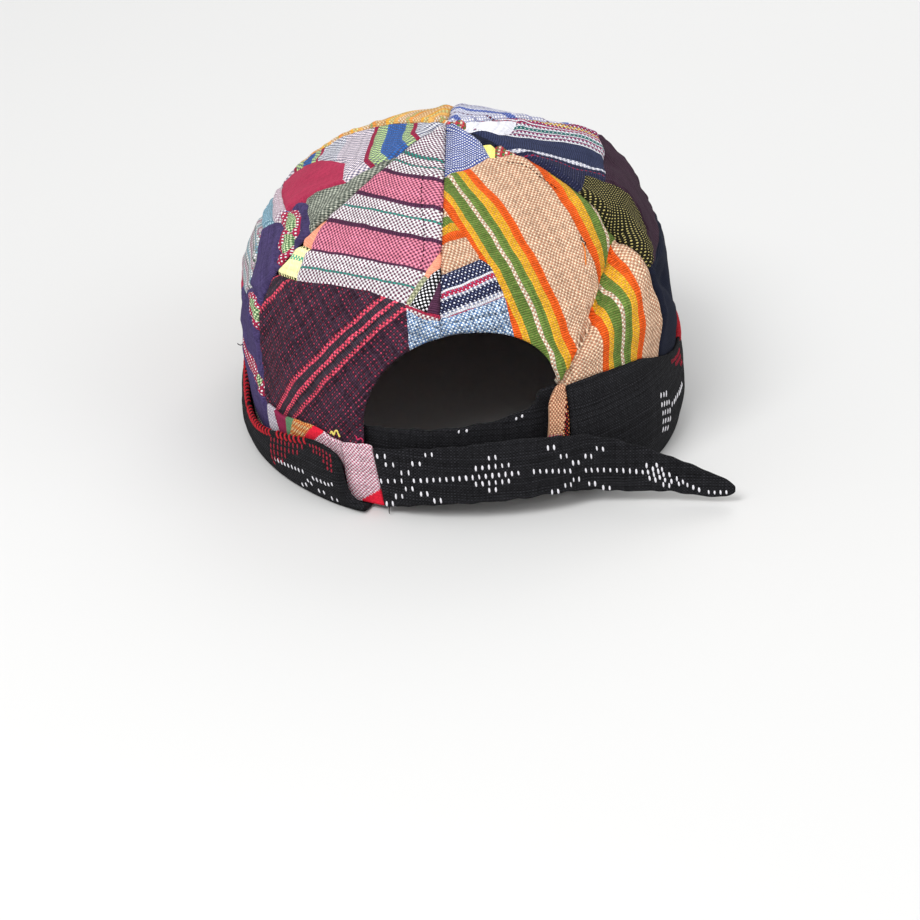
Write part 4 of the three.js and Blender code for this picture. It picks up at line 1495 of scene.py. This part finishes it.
def build_outer_strap():
    run, thick = strip_places(0, STRAP_RUN[-1], END_INSET, 0.9, int(STRAP_RUN[-1] / 0.8))
    point, ahead, low, high = strap_at(run)
    side = aside(ahead)
    low = low + 0.2 * ripple(run[:, None], 8, 61)
    high = high + 0.25 * ripple(run[:, None], 9, 62)
    share = np.linspace(0, 1, 30)
    rings = []
    for i in range(len(run)):
        heights = low[i] + STRAP_CLOTH / 2 + (high[i] - low[i] - STRAP_CLOTH) * share
        outs = 0.1 * ripple(joined(0 * heights + run[i], heights), 12, 63)
        ring = cloth_ring(joined(outs, heights), STRAP_CLOTH * thick[i])
        back = strap_slant(run[i], (ring[:, 1:] - low[i]) / (high[i] - low[i]))
        rings.append(point[i] + side[i] * ring[:, :1] + UP * ring[:, 1:] - ahead[i] * back)
    item = sweep("strap_outer_cloth", np.array(rings), run, [cloth("black")], 29)
    flat = (0.025, STRAP_RUN[-1] * MM)
    finished(item, "strap_outer", "black_cloth", flat, "laid", ["panel_back_left_cloth"])


UP = np.array([0.0, 0.0, 1.0])
# A stitch is a lens: its rings as (reach, rise), and its points round a ring
LENS_RINGS = [(1.0, -0.12), (0.86, 0.55), (0.5, 0.92)]
LENS_SIDES = 8


def ring_faces(rings, sides):
    """Faces between rings of points."""
    faces = []
    for i in range(rings - 1):
        for k in range(sides):
            a, b = i * sides + k, i * sides + (k + 1) % sides
            faces.append((a, b, b + sides, a + sides))
    return faces


def lens_faces():
    last, top = (len(LENS_RINGS) - 1) * LENS_SIDES, len(LENS_RINGS) * LENS_SIDES
    cap = [(last + k, last + (k + 1) % LENS_SIDES, top) for k in range(LENS_SIDES)]
    return ring_faces(len(LENS_RINGS), LENS_SIDES) + cap


LENS_FACES = lens_faces()


class Stitches:
    """Stitches of thread, gathered into one piece."""

    def __init__(self):
        self.points, self.faces, self.numbers = [], [], []

    def include(self, points, faces, number):
        base = len(self.points)
        self.points.extend(points)
        self.faces.extend(tuple(base + corner for corner in face) for face in faces)
        self.numbers.extend([number] * len(faces))

    def add(self, place, along, normal, length, width, rise, number=0):
        """A stitch at a place, running along one direction on a face with this normal."""
        along = unit(along - normal * (along @ normal))
        across = np.cross(normal, along)
        length *= rng.uniform(0.88, 1.12)
        width *= rng.uniform(0.85, 1.15)
        tilt = rng.uniform(-0.08, 0.08)
        along, across = along + across * tilt, across - along * tilt
        points = []
        for reach, up in LENS_RINGS:
            for k in range(LENS_SIDES):
                angle = 2 * math.pi * k / LENS_SIDES
                ahead, aslant = math.cos(angle) * reach * length / 2, math.sin(angle) * reach * width / 2
                points.append(place + along * ahead + across * aslant + normal * (up * rise))
        points.append(place + normal * rise)
        self.include(points, LENS_FACES, number)

    def build(self, name, materials):
        trim(mesh_object(name, placed(np.array(self.points)), self.faces, materials, self.numbers))


def thread(name, colour, dip_shade):
    """Twisted thread."""
    g = Graph("thread_" + name)
    grain = g.noise(g.add("NewGeometry", {})["Position"], 2600.0, 1.0)[0]
    # Painted shade: the thread is darker, by up to dip_shade, where its bumps dip
    tone = g.step(grain, 0.3, 0.7, 1 - dip_shade, 1.0)
    return g.finish(g.shaded((*rgb(colour), 1), tone), grain, 0.08, 0.8)


WHITE_THREAD = thread("white", "eceaf0", 0.25)
RED_THREAD = thread("red", "c4303a", 0.5)
HATCH_THREAD = thread("hatch", "a83040", 0.5)
ORANGE_THREAD = thread("orange", "ee8432", 0.3)
DARK_THREAD = thread("dark", "1c1418", 0.5)
YELLOW_THREAD = thread("yellow", "f0dc74", 0.3)
PINK_THREAD = thread("pink", "c8325c", 0.3)
DASH_LENGTH = 2.3
DASH_WIDTH = 0.82
DASH_RISE = 0.28

# Stitch motifs of the outer strap. A place is a run in millimetres from the motif's middle and a share of
# the strap's width from its middle row, and each place holds two dashes side by side.
STRAP_ROW_SHARE = 0.46
DASH_STEP = 2.4
FIRST_PAIR = 2.3
STRAP_ROWS = [(0.8, 8.4), (12.2, 53.0), (56.4, 71.0), (77.6, 99.6)]
CROSS_LEFT = (
    11.2,
    [
        (-11.2, .42), (-6.6, .28), (-1.8, .14), (2.0, .3), (6.6, .45), (-.8, -.14), (-4.8, -.27),
        (-8.8, -.39), (4.6, -.24), (9.6, -.37),
    ],
)
CROSS_RIGHT = (
    74.8,
    [
        (-11.8, .37), (-6.8, .2), (-1.6, .06), (3.8, .17), (8.4, .33), (-1.4, -.24), (-5, -.32),
        (5.4, -.33), (-10.2, -.41), (11, -.4),
    ],
)
# Rows of the diamond: share from the middle row, and how many dashes
DIAMOND = (41.0, [(.30, 2), (.15, 6), (-.12, 6), (-.24, 2)])
# Single dashes of the free end: run, share of the width
TIP_DASHES = [
    (100.6, .62), (101.2, .47), (101.8, .33), (103, .56), (103.4, .43), (104, .3), (104.4, .68),
    (105, .53), (105.6, .38), (106.4, .6), (107, .47), (107.6, .33), (107, .2), (109.2, .19),
    (109.2, .5), (110, .32), (112, .43), (112.8, .29), (114.3, .38), (116, .32), (118.2, .28),
    (120.4, .24), (124, .22), (126.2, .24), (128.4, .27), (130.6, .3),
]
# Where the strap's middle row dips: how deep, at which run, and how wide
ROW_DIP = (0.09, 76, 14)
# Below this width the dashes get shorter
DASH_FULL_WIDTH = 16
# Turns of the small dashes on the inner strap, how far they lie under its upper edge, and their length
INNER_DASHES = [-1.3, 0.4, 11.5, 12.9]
INNER_DASH_DROP = 1.4
INNER_DASH_LENGTH = 1.5


def strap_stitches():
    stitches = Stitches()

    def dash(run, share):
        place, normal = strap_face(run, share)
        _, ahead, low, high = strap_at(run)
        length = DASH_LENGTH * (0.55 + 0.45 * min(1.0, (high - low) / DASH_FULL_WIDTH))
        stitches.add(place, UP - 0.12 * ahead, normal, length, DASH_WIDTH, DASH_RISE)

    depth, dip_run, dip_width = ROW_DIP
    for first, last in STRAP_ROWS:
        for run in np.arange(first, last, DASH_STEP):
            dash(run, STRAP_ROW_SHARE - depth * bell(run - dip_run, dip_width))
    for middle, places in (CROSS_LEFT, CROSS_RIGHT):
        for run, share in places:
            for side in (-1, 1):
                dash(middle + max(run, FIRST_PAIR - middle) + side * DASH_STEP / 2, STRAP_ROW_SHARE + share)
    middle, rows = DIAMOND
    for share, count in rows:
        for k in range(count):
            dash(middle + (k - (count - 1) / 2) * DASH_STEP, STRAP_ROW_SHARE + share)
    for run, share in TIP_DASHES:
        dash(run, share)
    turns = np.array(INNER_DASHES)
    out = np.full(len(turns), STRAP_INSIDE_OUT)
    heights = edge_at(STRAP_INSIDE, "high", STRAP_WIDTH, turns) - INNER_DASH_DROP
    places = beside_wall(turns, out, heights)
    for place, along in zip(places, beside_wall(turns + 0.5, out, heights) - places):
        normal = unit(aside(along))
        stitches.add(place, UP + 0.2 * along, normal, INNER_DASH_LENGTH, DASH_WIDTH, DASH_RISE)
    stitches.build("strap_stitches", [WHITE_THREAD])


# White dashes on the cuff's left end and right side: turn, height as a share of CUFF_HEIGHT. The turns of
# the right ones count from the cluster's own.
CUFF_DASHES_LEFT = [
    (312.9, .165), (314.2, .17), (315.5, .176), (316.8, .182), (318.1, .188), (319.4, .195),
    (320.7, .202), (322, .21), (323.4, .22), (322, .05), (323.4, .075), (324.5, .14), (325.4, .12),
    (326.5, .2), (327.6, .2), (328.7, .2), (329.8, .195), (330.8, .2), (331.8, .22), (327.4, .075),
    (328.9, .08), (331, .05), (332.4, .05),
]
CUFF_CLUSTER_TURN = 52.4
CUFF_CLUSTER = [
    (0, .64), (1.6, .62), (3.2, .6), (0, .55), (1.6, .53), (3.2, .51), (4.8, .49), (.4, .46), (2, .44),
    (3.6, .42), (5.2, .4), (.8, .37), (2.4, .35), (4, .33), (5.6, .31), (1.2, .28), (2.8, .26),
    (4.4, .24), (7, .43), (8.6, .43), (10.2, .43), (11.8, .43), (13.4, .43), (15, .43), (16.6, .43),
    (18.2, .43),
]
# Red thread wound over the cuff's upper edge: between which turns, and the path of one stroke as (out, up)
# from a place just under the edge
ROPE_STEP = 1.65
ROPE_SPANS = [(79, 289.3), (291.6, 310.8), (313.6, 324.5)]
ROPE_DROP = 0.7
ROPE_PATH = [
    (-0.15, -1.5), (0.22, -0.9), (0.3, -0.1), (0.1, 0.65), (-0.55, 0.98), (-1.2, 0.62), (-1.4, -0.1),
]
ROPE_LEAN = 0.5
ROPE_RADIUS = 0.4
ROPE_SIDES = 6
# Columns of red hatching: first and last turn, step, how far under the edge they start, the length of a
# stroke, and how many strokes there are in the first and the last column
HATCHES = [
    (310.9, 323.6, 1.5, 3.6, 2.2, 5, 1), (325.4, 331.4, 0.95, 2.3, 1.7, 1, 4),
    (63, 76, 1.4, 3.9, 2.4, 1, 3),
]
HATCH_WIDTH = 0.72


def tube(places, radius, steps):
    """Points and faces of a smooth thread through a few places."""
    line = smooth_line(places, steps * (len(places) - 1) + 1)
    run = unit(np.gradient(line, axis=0))
    side = unit(np.cross(run, UP + np.array([0.3, 0.2, 0])))
    over = np.cross(side, run)
    angles = 2 * math.pi * np.arange(ROPE_SIDES)[:, None] / ROPE_SIDES
    rings = line[:, None] + radius * (np.cos(angles) * side[:, None] + np.sin(angles) * over[:, None])
    faces = ring_faces(len(line), ROPE_SIDES)
    faces.append(tuple(range(ROPE_SIDES))[::-1])
    faces.append(tuple((len(line) - 1) * ROPE_SIDES + k for k in range(ROPE_SIDES)))
    return rings.reshape(-1, 3), faces


def on_cuff(turns, heights):
    """Points on the cuff's outer face, with its directions along, up and out."""
    turns, heights = spread(turns, heights)
    low, high = cuff_span(turns)
    share = np.clip((heights - low) / (high - low), 0, 1)

    def point(at, share_at):
        out, up = cuff_face(at, share_at)
        return beside_wall(at, out + cuff_thickness(share_at) / 2, up)

    along = point(turns + TURN_REACH, share) - point(turns - TURN_REACH, share)
    up = point(turns, np.minimum(share + 0.05, 1.0)) - point(turns, np.maximum(share - 0.05, 0.0))
    return point(turns, share), unit(along), unit(up), unit(np.cross(along, up))


def cuff_stitches():
    stitches = Stitches()
    strokes = []
    for turn, share in CUFF_DASHES_LEFT:
        strokes.append((turn, share * CUFF_HEIGHT + 0.6, -0.35, DASH_LENGTH * 0.85, DASH_WIDTH * 0.85, 0))
    for turn, share in CUFF_CLUSTER:
        strokes.append((CUFF_CLUSTER_TURN + turn, share * CUFF_HEIGHT, 0.25, DASH_LENGTH, DASH_WIDTH, 0))
    for first, last, step, drop, length, count_first, count_last in HATCHES:
        turns = np.arange(first, last, step)
        tops = cuff_edge(turns) - drop
        for k, (turn, top) in enumerate(zip(turns, tops)):
            count = round(count_first + (count_last - count_first) * k / max(len(turns) - 1, 1))
            for row in range(count):
                strokes.append((turn + 0.2 * row, top - length * 1.1 * row, -0.3, length, HATCH_WIDTH, 2))
    places = on_cuff([stroke[0] for stroke in strokes], [stroke[1] for stroke in strokes])
    for (_, _, lean, length, width, number), place, along, up, normal in zip(strokes, *places):
        stitches.add(place, up + lean * along, normal, length, width, DASH_RISE, number)
    turns = np.concatenate([np.arange(first, last, ROPE_STEP) for first, last in ROPE_SPANS])
    path = np.array(ROPE_PATH)
    reach = run_length(path)[:, None]
    for place, along, up, normal in zip(*on_cuff(turns, cuff_edge(turns) - ROPE_DROP)):
        out = unit(normal * [1, 1, 0])
        lean = ROPE_LEAN * rng.uniform(0.8, 1.2)
        line = place + path[:, :1] * out + path[:, 1:] * UP - along * (reach - reach.mean()) * lean
        stitches.include(*tube(line, ROPE_RADIUS * rng.uniform(0.88, 1.1), 5), 1)
    stitches.build("cuff_stitches", [WHITE_THREAD, RED_THREAD, HATCH_THREAD])


def on_panel(name, turns, shares):
    """Points and normals on a panel's cloth."""
    climbs = climb_at(shares * CROWN_HEIGHT)
    vertex_turns, vertex_climbs, lift = lifts[name]
    away = np.mod(vertex_turns - turns[:, None] + 180, 360) - 180
    vertex = np.argmin((away * 1.2) ** 2 + ((vertex_climbs - climbs[:, None]) * 150) ** 2, axis=1)
    normal = outward(crown, turns, climbs)
    return crown(turns, climbs) + normal * lift[vertex][:, None], normal


# Topstitching: the panel, the places it runs through, and how far apart its stitches are
TOPSTITCH = [
    ("panel_back_left", [(-15, .935), (-10, .856), (-8.8, .79), (-9.4, .757)], 2.3),
    ("panel_back_right", [(39, .945), (45, .934), (46, .91), (46.5, .886)], 1.9),
]


def topstitches():
    stitches = Stitches()
    for name, places, step in TOPSTITCH:
        points, normals = on_panel(name, *smooth_line(places, 200).T)
        reach = run_length(points)

        def point(at):
            return np.array([np.interp(at, reach, axis) for axis in points.T])

        for at in np.arange(1, reach[-1] - 1, step):
            normal = normals[min(np.searchsorted(reach, at), len(normals) - 1)]
            ahead = point(at + 0.5) - point(at)
            stitches.add(point(at) + normal * 0.05, ahead, normal, step * 0.68, 0.42, 0.2)
    stitches.build("topstitching", [DARK_THREAD])


# Loose thread ends: places as (turn, share of the height, lift), the panel, the radius and the thread
LOOSE_ENDS = {
    "yellow": ([(-30, .243, 1.9), (-29.5, .253, 2.4), (-29, .251, 2.7), (-28.6, .248, 2.9), (-28.3, .26, 2.9),
                (-27.9, .264, 2.7), (-27.6, .253, 2.5), (-27.3, .244, 2.3)],
               "back_left", 0.34, YELLOW_THREAD),
    "pink": ([(-23.8, .253, 0.2), (-23.2, .246, 1.1), (-22.6, .251, 1.4), (-22.1, .243, 1.2)],
             "back_left", 0.24, PINK_THREAD),
    "orange": ([(41.2, .767, 0.1), (40.2, .75, 0.9), (39.6, .735, 0.5), (38.6, .715, 0.1)],
               "back_right", 0.25, ORANGE_THREAD),
    "dark": ([(41.8, .78, 0.1), (41.0, .772, 0.9), (41.6, .764, 1.0), (40.8, .757, 0.3)],
             "back_right", 0.2, DARK_THREAD),
}
# The two others start at a place of their own and go on in millimetres: out and down from the strap's face,
# and across, along and up from the left side
STRAP_END_AT = (2.2, 0.03)
STRAP_END_PATH = [(0, 0), (0.5, 0.8), (0.7, 1.9), (0.4, 2.9)]
LEFT_END_AT = (264.0, 0.6, 20.5)
LEFT_END_PATH = [(0, 0, 0), (-1.6, 0, 0.5), (-3.0, -0.4, 0.1), (-4.2, -0.6, 0.9)]


def loose_thread(name, places, radius, material):
    """A loose end of thread through places in the hat's millimetres."""
    points, faces = tube(places, radius, 10)
    trim(mesh_object("thread_end_" + name, placed(points), faces, [material]))


def threads():
    for name, (places, side, radius, material) in LOOSE_ENDS.items():
        turns, shares, lift = np.array(places).T
        points, normals = on_panel("panel_" + side, turns, shares)
        loose_thread(name, points + normals * lift[:, None], radius, material)
    place, normal = strap_face(*STRAP_END_AT)
    places = [place + normal * out - UP * down for out, down in STRAP_END_PATH]
    loose_thread("strap", places, 0.16, DARK_THREAD)
    place = beside_wall(*np.array(LEFT_END_AT)[:, None])
    loose_thread("left", place + np.array(LEFT_END_PATH), 0.2, DARK_THREAD)


for panel_name, (panel_pair, panel_patches) in PANELS.items():
    panel(panel_name, panel_pair, panel_patches)
build_cuff()
build_facing()
build_hem()
build_inner_strap()
build_outer_strap()
strap_stitches()
cuff_stitches()
topstitches()
threads()

FLOOR_HALF = 4.0
paper = Graph("floor_paper")
paper.give(paper.shader.inputs["Base Color"], (0.64, 0.64, 0.636, 1))
paper.give(paper.shader.inputs["Roughness"], 0.9)
floor_corners = [(x * FLOOR_HALF, y * FLOOR_HALF, 0) for x, y in ((-1, -1), (1, -1), (1, 1), (-1, 1))]
mesh_object("floor", floor_corners, [(0, 1, 2, 3)], [paper.material])

# Camera, from the photograph: pitch in degrees, pixels per millimetre at the rim's middle, distance in
# millimetres, roll in degrees, and the pixel of the rim's middle
PHOTO_SIZE = 920
PITCH = 27.5
PHOTO_SCALE = 2.5
DISTANCE = 1300.0
ROLL = -1.0
RIM_PIXEL = (464, 397)
SENSOR = 36.0

pitch, roll = math.radians(PITCH), math.radians(ROLL)
level_right = np.array([1.0, 0, 0])
level_up = np.array([0, math.sin(pitch), math.cos(pitch)])
forward = np.array([0, math.cos(pitch), -math.sin(pitch)])
view_right = level_right * math.cos(roll) + level_up * math.sin(roll)
view_up = level_up * math.cos(roll) - level_right * math.sin(roll)
half_photo = PHOTO_SIZE / 2
target = view_right * (half_photo - RIM_PIXEL[0]) + view_up * (RIM_PIXEL[1] - half_photo)
eye = placed(target / PHOTO_SCALE - forward * DISTANCE)
camera = bpy.data.objects.new("camera", bpy.data.cameras.new("camera"))
bpy.context.scene.collection.objects.link(camera)
camera.matrix_world = Matrix([(*view_right, 0), (*view_up, 0), (*-forward, 0), (*eye, 1)]).transposed()
camera.data.sensor_width = SENSOR
camera.data.lens = PHOTO_SCALE * DISTANCE / PHOTO_SIZE * SENSOR
camera.data.clip_end = 20
bpy.context.scene.camera = camera

CAP_MIDDLE = Vector((0, 0, 0.06))
# Lamps: place, size and power
LAMPS = {
    "key": ((-0.55, -0.9, 1.25), 0.7, 17),
    "fill": ((1.1, -0.5, 0.7), 1.2, 5.5),
    "rim": ((0.3, 1.1, 0.9), 0.8, 5),
}
for lamp_name, (lamp_place, lamp_size, lamp_power) in LAMPS.items():
    light = bpy.data.lights.new(lamp_name, "AREA")
    light.size = lamp_size
    light.energy = lamp_power
    lamp = bpy.data.objects.new(lamp_name, light)
    lamp.location = lamp_place
    lamp.rotation_euler = (CAP_MIDDLE - Vector(lamp_place)).to_track_quat("-Z", "Y").to_euler()
    bpy.context.scene.collection.objects.link(lamp)
world = bpy.data.worlds.new("studio")
bpy.context.scene.world = world
world.use_nodes = True
world.node_tree.nodes["Background"].inputs[0].default_value = (1, 1, 1, 1)
world.node_tree.nodes["Background"].inputs[1].default_value = 0.75
bpy.context.scene.view_settings.view_transform = "Standard"
